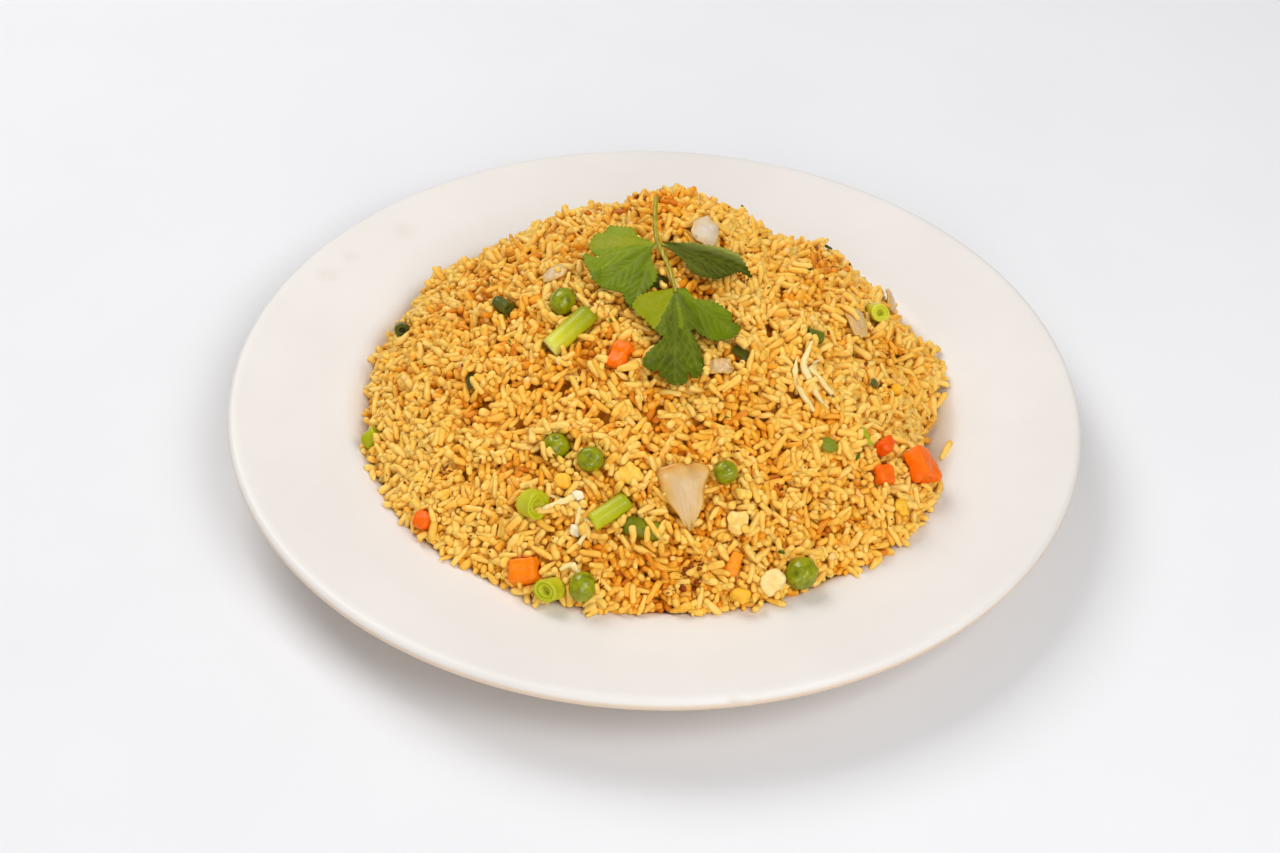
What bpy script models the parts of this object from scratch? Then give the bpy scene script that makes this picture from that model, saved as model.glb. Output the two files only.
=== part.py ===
"""Fried rice heaped on a wide-rimmed plate, with peas, spring onion, carrot, onion, egg and coriander.

All sizes here are millimetres, and each mesh is turned into metres as it is finished. The origin is
under the middle of the plate's foot, +Z is up, and the near side of the plate is at -Y. Bearings are
degrees anticlockwise from +X, seen from above.
"""

import math
import random

import bmesh
import bpy
from mathutils import Matrix, Vector, noise

METRES = 0.001
GAP = 0.3  # clearance between pieces that touch
ROUND_GAP = 0.6  # the same, between two balls of flat faces
ROUND_SIDES = 10  # flats round a pea, a stalk or a pocket

# The plate.
PLATE_R = 140
PLATE_H = 24
PLATE_SIDES = 48
PLATE_THICKNESS = 4.5
LIP_ROUND = 2.2
WELL_R = 100
WELL_RIM_Z = 19
FLOOR_R = 88
FLOOR_Z = 7.5
FOOT_R = 66
FOOT_WIDTH = 5
FOOT_RECESS = 3

# The heap of rice. Its crown lies behind the middle of the plate.
HEAP_CROWN = Vector((4, 14))
HEAP_RISE = 50
HEAP_FOOT_R = 97
HEAP_EDGE_H = 2.5  # the rice is a grain or so thick at its very edge
HEAP_ROUNDNESS = 1.9
HEAP_SHOULDER = 0.92
HEAP_SIDES = 52
HEAP_RINGS = 12
EDGE_CLEAR = 1.2  # the underside of its edge is as high as the plate is this much farther out
EDGE_BLEND = 8  # swells and relief fade out over this fraction of the reach, counted from the foot
RELIEF_SIZE = 15
RELIEF_DEPTH = 1.8
FOOT_WANDER = 1.5
FOOT_WANDERS = 5  # how often the foot wanders in and out, in each radian
# Where the foot of the heap runs out or stops short: bearing, spread in degrees, distance.
FOOT_BULGES = (
    (-152, 12, -2.8),
    (-130, 20, 4),
    (-125, 8, -1.6),
    (-90, 25, 4),
    (-63, 5, -4),
    (-45, 13, 7),
    (-28, 9, -4.5),
    (-14, 8, -5),
    (3, 8, 3),
    (16, 7, -3),
    (155, 8, 2.5),
    (166, 12, -3),
)
# Swells and dips of the heap: x, y, spread, height.
HEAP_SWELLS = (
    (6, 37, 14, 12),
    (-30, 50, 15, 4),
    (-17, 53, 5, -5),
    (-6, 52, 6, 3),
    (-58, 60, 8, -3),
    (-81, 44, 6, 8),
    (27, 46, 7, 3),
    (44, 58, 8, -4),
    (62, 58, 10, 3),
    (71, 50, 4, -2.5),
    (82, 49, 6, 9),
    (92, 14, 6, 2),
    (-20, -40, 26, 2),
    (40, -35, 24, 2),
)

# Peas: name, x, y, bearing of the long axis, length, width, height of the middle over the rice.
PEAS = (
    ("pea_back_left", -29.5, -9, 75, 10, 8.2, 1.5),
    ("pea_middle", -19, -65, 10, 8.6, 7.6, 0.8),
    ("pea_middle_right", 21.5, -67, 0, 7.6, 7, 0.8),
    ("pea_front_left", -20, -96.5, 80, 9.6, 8, 2),
    ("pea_front_right", 43.6, -86.2, 60, 10.2, 9, 2.6),
    ("pea_buried", -30, -59, 30, 8.4, 8, -1),
)

# Spring onion cut across into tubes: name, x, y, bearing and pitch of the axis, diameter, length, lift.
TUBE_WALL = 1.2
ONION_TUBES = (
    ("scallion_long", -27, -21.5, 40, 0, 7, 17, 1.5),
    ("scallion_left_edge", -85, 20, -55, 0, 5.2, 8, 1),
    ("scallion_upper_left", -49.5, -1.5, -50, 0, 5, 6.5, 0),
    ("scallion_left_slice", -89.5, -29, 195, 10, 6.2, 5, 1),
    ("scallion_ring", -35.5, -75, -30, 35, 9, 5.5, 1),
    ("scallion_cut", -13, -78.5, 42, 0, 5.8, 12.5, 1),
    ("scallion_sunk", -3, -82, -15, 0, 6, 9.5, -0.6),
    ("scallion_by_pea", -29.2, -96.5, 22, 0, 7.2, 7, 1.8),
    ("scallion_right", 71.5, 14, -105, 0, 6.4, 8, 1.6),
    ("scallion_back_right", 49, -14, 10, 0, 5, 5, 0.5),
)

# Spring onion leaf cut into strips: name, x, y, bearing, length, width, radius of the bend, lift.
STRIP_THICKNESS = 0.9
ONION_STRIPS = (
    ("scallion_curl", -57.5, -29.5, 100, 7, 3.4, 2.6, 1.2),
    ("scallion_square", 53, -52, -5, 5, 4.6, 8, 1.2),
    ("scallion_sliver", 65, -45, -50, 6.4, 2.4, 3, 1.2),
    ("scallion_back_edge", 57, 55, -40, 5.5, 2.4, 3, 1.2),
    ("scallion_arc", 47.5, 20.5, 10, 5.8, 2.6, 2.6, 1.2),
    ("scallion_by_yolk", 69, -18, 65, 4.6, 3, 3, 1.2),
    ("scallion_by_leaf", 26, -29, -35, 6.6, 4.4, 5, 1),
    ("scallion_under_leaf", 0.2, -3.5, 60, 5.5, 4, 4, 0.6),
)

# Carrot dice: name, x, y, bearing, length, width, depth, lift.
CARROT_SOFTENED = 0.7  # bevel of the cooked edges
CARROTS = (
    ("carrot_right_large", 83, -42.5, 20, 11.5, 11, 7, 2),
    ("carrot_right_upper", 71.5, -43.5, 60, 7.5, 4.6, 5, 0.6),
    ("carrot_right_lower", 70.5, -54, 15, 6.4, 6, 5, 0.8),
    ("carrot_left_edge", -69.5, -69, -40, 6.6, 6, 5, 0.8),
    ("carrot_front", -37.5, -90.5, 8, 9, 7.6, 6, 1),
    ("carrot_middle", -11.5, -33.5, 65, 10, 6, 5, 0.2),
    ("carrot_back_left", -38.5, -3.5, 20, 5, 4.6, 4, 0),
    ("carrot_sunk", 24.5, -89, 75, 9, 4.6, 4, -0.6),
)

# Onion layers: name, x, y, bearing, length, width, bend along, bend across, lift.
PETAL_THICKNESS = 1.8
PETAL_TAPER = 0.45  # how much narrower a petal's ends are
ONION_PETALS = (
    ("onion_front", 9.5, -74, -80, 21, 14.5, 22, 10, 1.6),
    ("onion_top", 13.5, 17.5, 80, 11.5, 10, 14, 9, 2),
    ("onion_upper_left", -33, 5, 10, 8.2, 6.6, 12, 9, 1),
    ("onion_right", 63.5, 4.5, -75, 12, 9.5, 16, 9, 1.4),
    ("onion_by_leaf", 19, -36, 10, 8.4, 5.6, 9, 6, 1),
    ("onion_right_edge", 79, 43.5, -70, 9.5, 7, 14, 9, 1.2),
)

# Pieces of scrambled egg: name, x, y, bearing, length, width, depth, lift.
EGG_PIECES = (
    ("egg_front_right", 36, -91.5, 35, 10.5, 9, 5, 1.2),
    ("egg_yolk_front", 27, -96, 60, 5.4, 4.8, 4, 0.6),
    ("egg_yolk_right", 76.5, -12, 70, 6, 5, 4, 0.6),
    ("egg_white_curl", -22.3, -74, -35, 6.4, 3.6, 3, 0.8),
    ("egg_white_flake", -22, -83, -60, 5.8, 4.4, 3, 0.8),
    ("egg_round", -7.6, -69, 0, 9.4, 6.6, 5, 0.6),
    ("egg_middle_right", 25, -79, 20, 9.6, 8.6, 5, 0.8),
    ("egg_right", 76.5, -60.5, 20, 7.6, 6.8, 5, 0.6),
    ("egg_yolk_middle", -26.5, -69.5, 60, 5.6, 5, 4, 0.6),
    ("egg_small_right", 26.5, -71.5, 40, 5.6, 5, 4, 0.4),
    ("egg_back_left", -17, -11, 15, 8.5, 4.4, 3.4, 0.6),
)

# Threads of egg white: name, thickness, and its way over the rice.
EGG_THREAD = ("egg_thread_right", 1.6, ((48.5, -20), (45, -26), (47, -31), (50.5, -34), (54, -37)))
THREAD_LIFT = 1.9

# The coriander sprig. Its stem and leaflets stand this far over the rice.
STEM_THICKNESS = 1.6
STEM_ROUTE = ((-1.7, 27), (-2, 21), (-1.7, 15), (-0.7, 9.6), (1.8, 2.5), (4, -5), (5.2, -11.8))
STEM_LIFT = 4
LEAF_THICKNESS = 0.6
# Leaflets: name, lift at the far side and at the near side, and the outline, anticlockwise.
LEAFLETS = (
    (
        "coriander_leaf_left",
        8,
        3.4,
        (
            (-2, 9.2), (-7, 13.5), (-9.5, 16.5), (-14, 15.5), (-17.5, 15.5), (-20.5, 13.5), (-23, 9.5),
            (-24, 6.5), (-17, 2.5), (-23, 1), (-21, -5), (-17.5, -9), (-14.5, -11), (-10.5, -14.5),
            (-8, -15.5), (-5.5, -12), (-3.4, -8), (-2.4, -4), (-3, 0), (-4, 4),
        ),
    ),
    (
        "coriander_leaf_right",
        2.6,
        3.4,
        (
            (0.6, 9.5), (5, 6), (9, 1), (12, -3.5), (16, -3), (20, -1.5), (24.5, 1), (29.5, -1.5),
            (28.5, 4), (25, 9), (19, 10.5), (13, 11), (8, 11.5), (4, 10.8),
        ),
    ),
    (
        "coriander_leaf_front",
        4,
        2.8,
        (
            (4, -12.8), (-2, -13.6), (-5.5, -17), (-6.5, -20.5), (-3, -25), (0.5, -28.5), (-1, -32),
            (-4.5, -36), (-4, -39.5), (0.5, -40.5), (2.5, -44), (6.5, -43.5), (10, -42.5), (13.5, -40),
            (14.5, -36), (12.5, -30.5), (10.5, -25.5), (17, -28.6), (24, -27), (25.5, -23),
            (21.5, -18), (16, -14.5), (10, -13),
        ),
    ),
)


def clear_scene():
    for obj in list(bpy.data.objects):
        bpy.data.objects.remove(obj)


def finish(name, colour, roughness):
    """A plain material of one colour."""
    made = bpy.data.materials.new(name)
    made.use_nodes = True
    shader = made.node_tree.nodes["Principled BSDF"]
    shader.inputs["Base Color"].default_value = (*colour, 1)
    shader.inputs["Roughness"].default_value = roughness
    shader.inputs["Metallic"].default_value = 0
    return made


def add_object(name, bm, material, place=None):
    """Makes an object of the bmesh, which is in millimetres, and stands it at its place."""
    bmesh.ops.recalc_face_normals(bm, faces=bm.faces)
    bmesh.ops.scale(bm, vec=(METRES,) * 3, verts=bm.verts)
    mesh = bpy.data.meshes.new(name)
    bm.to_mesh(mesh)
    bm.free()
    if material:
        mesh.materials.append(material)
    mesh.shade_smooth()
    mesh.set_sharp_from_angle(angle=math.radians(40))
    obj = bpy.data.objects.new(name, mesh)
    bpy.context.scene.collection.objects.link(obj)
    if place:
        obj.rotation_euler = place.to_euler()
        obj.location = place.translation * METRES
    obj.parent = whole_dish
    return obj


def skin(bm, rings, closed):
    """Joins rings of as many points each, in order. Closed rings of rings have no caps."""
    loops = [[bm.verts.new(point) for point in ring] for ring in rings]
    pairs = list(zip(loops, loops[1:]))
    if closed:
        pairs.append((loops[-1], loops[0]))
    else:
        bm.faces.new(loops[0][::-1])
        bm.faces.new(loops[-1])
    for lower, upper in pairs:
        for i, corner in enumerate(lower):
            after = (i + 1) % len(lower)
            bm.faces.new((corner, lower[after], upper[after], upper[i]))


# The plate ------------------------------------------------------------------------------------


def plate_top(radius):
    """The height of the plate's upper face, out to the start of its rounded lip."""
    if radius <= FLOOR_R:
        return FLOOR_Z
    if radius <= WELL_R:
        return FLOOR_Z + (WELL_RIM_Z - FLOOR_Z) * (radius - FLOOR_R) / (WELL_R - FLOOR_R)
    return WELL_RIM_Z + (PLATE_H - WELL_RIM_Z) * (radius - WELL_R) / (PLATE_R - LIP_ROUND - WELL_R)


def plate_outline():
    """Half the plate's cross-section, from the middle of the well out and back to the middle."""
    lip_r = PLATE_R - LIP_ROUND
    lip_z = PLATE_H - PLATE_THICKNESS / 2
    points = [(0, FLOOR_Z), (FLOOR_R, FLOOR_Z), (WELL_R, WELL_RIM_Z)]
    for turn in (90, 45, 0, -45, -90):
        angle = math.radians(turn)
        points.append(
            (lip_r + LIP_ROUND * math.cos(angle), lip_z + PLATE_THICKNESS / 2 * math.sin(angle))
        )
    points += [
        (WELL_R + 4, plate_top(WELL_R + 4) - PLATE_THICKNESS),
        (FLOOR_R + 4, plate_top(FLOOR_R + 4) - PLATE_THICKNESS),
        (FOOT_R + 3, FLOOR_Z - PLATE_THICKNESS),
        (FOOT_R, 0),
        (FOOT_R - FOOT_WIDTH, 0),
        (FOOT_R - FOOT_WIDTH - 1, FOOT_RECESS),
        (0, FOOT_RECESS),
    ]
    return points


def add_plate():
    """Turns the cross-section once round the plate's axis."""
    bm = bmesh.new()
    corners = [bm.verts.new((radius, 0, height)) for radius, height in plate_outline()]
    for start, end in zip(corners, corners[1:]):
        bm.edges.new((start, end))
    plate = add_object("plate", bm, stoneware)
    turned = plate.modifiers.new("Turned", "SCREW")
    turned.steps = turned.render_steps = PLATE_SIDES
    turned.use_merge_vertices = True
    turned.merge_threshold = 0.0001
    turned.use_smooth_shade = True


# The heap -------------------------------------------------------------------------------------


def hump(distance, spread):
    return math.exp(-((distance / spread) ** 2) / 2)


def degrees_apart(a, b):
    return (a - b + 180) % 360 - 180


def heap_reach(bearing):
    """How far the heap reaches from its crown at this bearing, in radians."""
    ray = Vector((math.cos(bearing), math.sin(bearing)))
    turn = math.degrees(bearing)
    foot = HEAP_FOOT_R + FOOT_WANDER * noise.noise(Vector((ray.x, ray.y, 0)) * FOOT_WANDERS)
    foot += sum(size * hump(degrees_apart(turn, at), spread) for at, spread, size in FOOT_BULGES)
    along = HEAP_CROWN.dot(ray)
    return math.sqrt(along**2 - HEAP_CROWN.length_squared + foot**2) - along


def heap_top(x, y):
    """The height of the rice over a point. Past the rim of the well its edge lies down on the slope."""
    offset = Vector((x, y)) - HEAP_CROWN
    bearing = math.atan2(offset.y, offset.x)
    reach = heap_reach(bearing)
    out = min(1, offset.length / reach)
    foot = (HEAP_CROWN + Vector((math.cos(bearing), math.sin(bearing))) * reach).length
    drop = (WELL_RIM_Z - plate_top(foot)) * out**10
    height = WELL_RIM_Z + HEAP_EDGE_H - drop
    height += (HEAP_RISE - HEAP_EDGE_H) * (1 - out**HEAP_ROUNDNESS) ** HEAP_SHOULDER
    uneven = RELIEF_DEPTH * noise.noise(Vector((x, y, 0)) / RELIEF_SIZE)
    for at_x, at_y, spread, rise in HEAP_SWELLS:
        uneven += rise * hump(math.hypot(x - at_x, y - at_y), spread)
    return height + uneven * min(1, EDGE_BLEND * (1 - out))


def heap_ring(out, underside):
    """A ring of the heap: out is 0 at its middle and 1 at its foot."""
    points = []
    for side in range(HEAP_SIDES):
        bearing = math.tau * side / HEAP_SIDES
        ray = Vector((math.cos(bearing), math.sin(bearing)))
        at = HEAP_CROWN + ray * heap_reach(bearing) * (out or 0.001)
        under = plate_top(at.length + EDGE_CLEAR) + GAP
        points.append((at, under if underside else heap_top(*at)))
    return [(at.x, at.y, height) for at, height in points]


def under_ring(radius_of):
    """A ring under the heap, on the plate's own axis, at the radius that a foot's radius gives."""
    points = []
    for x, y, _ in heap_ring(1, True):
        foot = Vector((x, y))
        radius = radius_of(foot.length)
        at = foot.normalized() * radius
        points.append((at.x, at.y, plate_top(radius) + 2 * GAP))
    return points


def add_heap():
    """The rice as one solid, from the well of the plate to its uneven top."""
    rings = [
        under_ring(lambda foot: 1),
        under_ring(lambda foot: FLOOR_R - 1),
        under_ring(lambda foot: min(WELL_R, foot - 0.5)),
        heap_ring(1, True),
    ]
    rings += [heap_ring(1 - ring / HEAP_RINGS, False) for ring in range(HEAP_RINGS)]
    rings.append(heap_ring(0.02, False))
    bm = bmesh.new()
    skin(bm, rings, closed=False)
    bmesh.ops.triangulate(bm, faces=bm.faces)
    return add_object("rice_heap", bm, rice)


def seat(x, y, bearing, lift, pitch=0):
    """A place on the rice: X along the bearing, Z straight out of the slope, lifted along it."""
    step = 3
    rise = Vector((heap_top(x + step, y) - heap_top(x - step, y),
                   heap_top(x, y + step) - heap_top(x, y - step))) / (2 * step)
    out = Vector((-rise.x, -rise.y, 1)).normalized()
    along = Vector((math.cos(math.radians(bearing)), math.sin(math.radians(bearing)), 0))
    along = (along - out * along.dot(out)).normalized()
    place = Matrix((along, out.cross(along), out)).transposed().to_4x4()
    place.translation = Vector((x, y, heap_top(x, y))) + out * lift
    return place @ Matrix.Rotation(-math.radians(pitch), 4, "Y")


# Forms of the toppings, each about its own middle. grow widens one into the pocket it lies in. --


def ball(length, width, depth, grow=0):
    bm = bmesh.new()
    bmesh.ops.create_uvsphere(bm, u_segments=ROUND_SIDES, v_segments=6, radius=0.5)
    size = [side + 2 * grow for side in (length, width, depth)]
    bmesh.ops.scale(bm, vec=size, verts=bm.verts)
    return bm


def rod(diameter, length):
    bm = bmesh.new()
    bmesh.ops.create_cone(
        bm, cap_ends=True, segments=ROUND_SIDES, radius1=diameter / 2, radius2=diameter / 2, depth=length,
        matrix=Matrix.Rotation(math.radians(90), 4, "Y"),
    )
    return bm


def tube(diameter, length):
    """A hollow stalk lying along X."""
    bm = bmesh.new()
    rings = []
    turns = [math.tau * side / ROUND_SIDES for side in range(ROUND_SIDES)]
    for end, inset in ((-1, 0), (1, 0), (1, TUBE_WALL), (-1, TUBE_WALL)):
        radius = diameter / 2 - inset
        rings.append([(end * length / 2, radius * math.cos(t), radius * math.sin(t)) for t in turns])
    skin(bm, rings, closed=True)
    return bm


def sheet(length, width, bend_along, bend_across, thickness, cells, taper=0, grow=0):
    """A curved piece of a layer, its ends narrowed by taper."""
    bm = bmesh.new()
    bmesh.ops.create_grid(bm, x_segments=cells, y_segments=cells, size=0.5)
    for vert in bm.verts:
        narrow = 1 - taper * (2 * vert.co.x) ** 2
        x = vert.co.x * (length + 2 * grow)
        y = vert.co.y * (width * narrow + 2 * grow)
        rise = (thickness + 2 * grow) / 2 - x * x / (2 * bend_along) - y * y / (2 * bend_across)
        vert.co = (x, y, rise)
    bmesh.ops.recalc_face_normals(bm, faces=bm.faces)
    top = bm.faces[:]
    made = bmesh.ops.extrude_face_region(bm, geom=top)
    moved = [part for part in made["geom"] if isinstance(part, bmesh.types.BMVert)]
    bmesh.ops.translate(bm, verts=moved, vec=(0, 0, -thickness - 2 * grow))
    return bm


def dice(length, width, depth, seed, grow=0):
    """A block cut by hand: its corners are out of square, and its edges softened."""
    chance = random.Random(seed)
    bm = bmesh.new()
    bmesh.ops.create_cube(bm, size=1)
    for vert in bm.verts:
        slip = Vector([chance.uniform(0.8, 1.04) for _ in range(3)])
        for axis, side in enumerate((length, width, depth)):
            edge = side * slip[axis] + 2 * grow
            vert.co[axis] = math.copysign(edge / 2, vert.co[axis])
    if not grow:
        edges = bm.edges[:]
        bmesh.ops.bevel(bm, geom=edges, offset=CARROT_SOFTENED, segments=1, affect="EDGES")
    bmesh.ops.triangulate(bm, faces=bm.faces)
    return bm


def lump(length, width, depth, seed):
    """A soft, uneven lump that stays inside the ball of the same size."""
    bm = bmesh.new()
    bmesh.ops.create_icosphere(bm, subdivisions=2, radius=0.5)
    for vert in bm.verts:
        vert.co *= 0.86 + 0.14 * noise.noise(vert.co * 3 + Vector((seed, 0, 0)))
    bmesh.ops.scale(bm, vec=(length, width, depth), verts=bm.verts)
    return bm


def lay(name, material, place, form, pocket):
    """Puts a topping in its place and marks the pocket that it presses into the rice."""
    add_object(name, form, material, place)
    cutter = add_object(name + "_pocket", pocket, None, place)
    cutter.hide_render = True
    cutter.display_type = "WIRE"
    bpy.context.scene.collection.objects.unlink(cutter)
    pockets.objects.link(cutter)


def add_toppings():
    for name, x, y, bearing, length, width, lift in PEAS:
        form = ball(length, width, width)
        pocket = ball(length, width, width, ROUND_GAP)
        lay(name, pea_skin, seat(x, y, bearing, lift), form, pocket)
    for name, x, y, bearing, pitch, diameter, length, lift in ONION_TUBES:
        pocket = rod(diameter + 3 * GAP, length + 2 * GAP)
        place = seat(x, y, bearing, lift, pitch)
        lay(name, scallion_green, place, tube(diameter, length), pocket)
    for name, x, y, bearing, length, width, bend, lift in ONION_STRIPS:
        shape = (length, width, 4 * bend, bend, STRIP_THICKNESS, 3)
        pocket = sheet(*shape, grow=GAP)
        lay(name, scallion_leaf, seat(x, y, bearing, lift), sheet(*shape), pocket)
    for name, x, y, bearing, length, width, depth, lift in CARROTS:
        form = dice(length, width, depth, name)
        pocket = dice(length, width, depth, name, grow=GAP)
        lay(name, carrot, seat(x, y, bearing, lift), form, pocket)
    for name, x, y, bearing, length, width, along, across, lift in ONION_PETALS:
        shape = (length, width, along, across, PETAL_THICKNESS, 4, PETAL_TAPER)
        pocket = sheet(*shape, grow=GAP)
        lay(name, onion_flesh, seat(x, y, bearing, lift), sheet(*shape), pocket)
    for name, x, y, bearing, length, width, depth, lift in EGG_PIECES:
        form = lump(length, width, depth, len(name) + x)
        lay(name, egg, seat(x, y, bearing, lift), form, ball(length, width, depth, GAP))


def add_cord_of(name, material, thickness, points):
    """A round thread or stem through the points."""
    curve = bpy.data.curves.new(name, "CURVE")
    curve.dimensions = "3D"
    curve.bevel_depth = thickness / 2 * METRES
    curve.bevel_resolution = 1
    curve.use_fill_caps = True
    spline = curve.splines.new("POLY")
    spline.points.add(len(points) - 1)
    for knot, point in zip(spline.points, points):
        knot.co = (*(Vector(point) * METRES), 1)
    curve.materials.append(material)
    obj = bpy.data.objects.new(name, curve)
    bpy.context.scene.collection.objects.link(obj)
    obj.parent = whole_dish


def add_leaflet(name, far_lift, near_lift, outline):
    """A thin leaflet held over the rice, following it from edge to edge."""
    near = min(y for _, y in outline)
    far = max(y for _, y in outline)
    bm = bmesh.new()
    rim = []
    for x, y in outline:
        lift = near_lift + (far_lift - near_lift) * (y - near) / (far - near)
        rim.append(bm.verts.new((x, y, heap_top(x, y) + lift)))
    bm.faces.new(rim)
    bmesh.ops.triangulate(bm, faces=bm.faces, ngon_method="BEAUTY")
    made = bmesh.ops.extrude_face_region(bm, geom=bm.faces[:])
    moved = [part for part in made["geom"] if isinstance(part, bmesh.types.BMVert)]
    bmesh.ops.translate(bm, verts=moved, vec=(0, 0, -LEAF_THICKNESS))
    add_object(name, bm, coriander)


def add_sprig():
    route = [(x, y, heap_top(x, y) + STEM_LIFT) for x, y in STEM_ROUTE]
    add_cord_of("coriander_stem", coriander_stem, STEM_THICKNESS, route)
    for leaflet in LEAFLETS:
        add_leaflet(*leaflet)


clear_scene()
whole_dish = bpy.data.objects.new("fried_rice_plate", None)
bpy.context.scene.collection.objects.link(whole_dish)
pockets = bpy.data.collections.new("Pockets")
bpy.context.scene.collection.children.link(pockets)

stoneware = finish("Glazed stoneware", (0.82, 0.79, 0.75), 0.35)
rice = finish("Fried rice", (0.75, 0.47, 0.12), 0.55)
pea_skin = finish("Pea skin", (0.16, 0.33, 0.03), 0.3)
scallion_green = finish("Spring onion stalk", (0.42, 0.58, 0.04), 0.35)
scallion_leaf = finish("Spring onion leaf", (0.07, 0.2, 0.02), 0.4)
carrot = finish("Cooked carrot", (0.9, 0.19, 0.01), 0.4)
onion_flesh = finish("Cooked onion", (0.72, 0.62, 0.48), 0.3)
egg = finish("Scrambled egg", (0.85, 0.65, 0.25), 0.5)
coriander = finish("Coriander leaf", (0.12, 0.3, 0.03), 0.5)
coriander_stem = finish("Coriander stem", (0.25, 0.42, 0.06), 0.45)

add_plate()
heap = add_heap()
add_toppings()
thread_name, thread_width, thread_route = EGG_THREAD
add_cord_of(thread_name, egg, thread_width,
            [(x, y, heap_top(x, y) + THREAD_LIFT) for x, y in thread_route])
add_sprig()

pressed = heap.modifiers.new("Pockets", "BOOLEAN")
pressed.operation = "DIFFERENCE"
pressed.solver = "EXACT"
pressed.operand_type = "COLLECTION"
pressed.collection = pockets
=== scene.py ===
import math

import bpy
import numpy as np
from mathutils import Matrix, Vector, noise
from mathutils.bvhtree import BVHTree
from mathutils.geometry import delaunay_2d_cdt


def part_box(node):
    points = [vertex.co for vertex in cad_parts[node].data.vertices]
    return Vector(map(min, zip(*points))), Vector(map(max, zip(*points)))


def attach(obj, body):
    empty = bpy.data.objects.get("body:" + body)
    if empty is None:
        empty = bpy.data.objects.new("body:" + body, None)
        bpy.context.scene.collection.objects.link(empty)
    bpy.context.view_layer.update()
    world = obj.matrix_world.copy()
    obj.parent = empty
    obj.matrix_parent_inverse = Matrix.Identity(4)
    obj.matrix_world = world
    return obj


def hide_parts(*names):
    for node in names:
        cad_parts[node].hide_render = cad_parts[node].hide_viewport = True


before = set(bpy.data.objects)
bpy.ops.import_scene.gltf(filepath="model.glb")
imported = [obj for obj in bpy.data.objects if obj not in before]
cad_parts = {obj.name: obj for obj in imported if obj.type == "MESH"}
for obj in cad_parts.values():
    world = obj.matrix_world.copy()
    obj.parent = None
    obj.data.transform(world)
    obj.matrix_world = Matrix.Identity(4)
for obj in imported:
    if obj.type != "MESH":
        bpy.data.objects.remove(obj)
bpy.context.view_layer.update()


# ---- The plate -------------------------------------------------------------------------------
# One wide-rimmed plate of stoneware, thrown and turned in one piece, under a matt cream glaze that
# has taken faint stains and scuffs in use. It stands on its foot ring and replaces the faceted plate.

MM = 0.001  # sizes below are millimetres
PLATE_SIDES = 160
PLATE_R = (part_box("plate")[1].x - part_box("plate")[0].x) / 2 / MM
PLATE_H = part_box("plate")[1].z / MM
WALL = 4.5
LIP_ROUND = 2.2
FLOOR_R = 88
FLOOR_Z = 7.5
WELL_R = 100
WELL_RIM_Z = 19
FOOT_R = 66
FOOT_WIDTH = 5
FOOT_ROUND = 0.8
FOOT_RECESS = 3


def smooth(share):
    """Eases a share in and out between 0 and 1."""
    share = np.clip(share, 0, 1)
    return share * share * (3 - 2 * share)


def plate_top(radius):
    """The height of the plate's upper face: a flat well, a soft slope and the almost flat rim."""
    rim = WELL_RIM_Z + (PLATE_H - WELL_RIM_Z) * (radius - WELL_R) / (PLATE_R - LIP_ROUND - WELL_R)
    rise = smooth((radius - FLOOR_R + 3) / (WELL_R - FLOOR_R + 5))
    return FLOOR_Z + (np.maximum(rim, FLOOR_Z) - FLOOR_Z) * rise


def deselect():
    if bpy.context.mode != "OBJECT":
        bpy.ops.object.mode_set(mode="OBJECT")
    bpy.ops.object.select_all(action="DESELECT")


def pick(obj, chosen):
    """Goes into edit mode on the object with just these of its vertices selected."""
    bpy.ops.object.mode_set(mode="EDIT")
    bpy.ops.mesh.select_mode(type="VERT")
    bpy.ops.mesh.select_all(action="DESELECT")
    bpy.ops.object.mode_set(mode="OBJECT")
    obj.data.vertices.foreach_set("select", chosen)
    bpy.ops.object.mode_set(mode="EDIT")


def settle(obj, name, finish, node_names=()):
    """Puts a finished piece's place in its mesh, gives it its material, and ties it to the frame."""
    deselect()
    obj.select_set(True)
    bpy.context.view_layer.objects.active = obj
    bpy.ops.object.transform_apply(location=True, rotation=True, scale=True)
    obj.name = obj.data.name = name
    obj.data.materials.clear()
    obj.data.materials.append(finish)
    obj.data.shade_smooth()
    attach(obj, "root")
    if node_names:
        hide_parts(*node_names)
    return obj


def hex_colour(code):
    """The linear colour, with alpha, of an sRGB hex code."""
    shares = [int(code[i : i + 2], 16) / 255 for i in (0, 2, 4)]
    return (*(s / 12.92 if s <= 0.04045 else ((s + 0.055) / 1.055) ** 2.4 for s in shares), 1)


def add(tree, kind, inputs=None, stops=None, **settings):
    """Adds a node: its settings, its inputs' values or what they are linked to, and a ramp's stops."""
    made = tree.nodes.new("ShaderNode" + kind)
    for name, value in settings.items():
        setattr(made, name, value)
    for name, value in (inputs or {}).items():
        if isinstance(value, bpy.types.NodeSocket):
            tree.links.new(value, made.inputs[name])
        else:
            made.inputs[name].default_value = value
    for place, code in stops or ():
        ramp = made.color_ramp.elements
        first = place == stops[0][0]
        last = place == stops[-1][0]
        stop = ramp[0] if first else ramp[-1] if last else ramp.new(place)
        stop.position = place
        stop.color = hex_colour(code)
    return made


def new_finish(name, **inputs):
    """A material of this name with the shader's own constants: gives it, its nodes and the shader."""
    made = bpy.data.materials.new(name)
    made.use_nodes = True
    shader = made.node_tree.nodes["Principled BSDF"]
    for key, value in inputs.items():
        shader.inputs[key.replace("_", " ")].default_value = value
    return made, made.node_tree, shader


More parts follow.
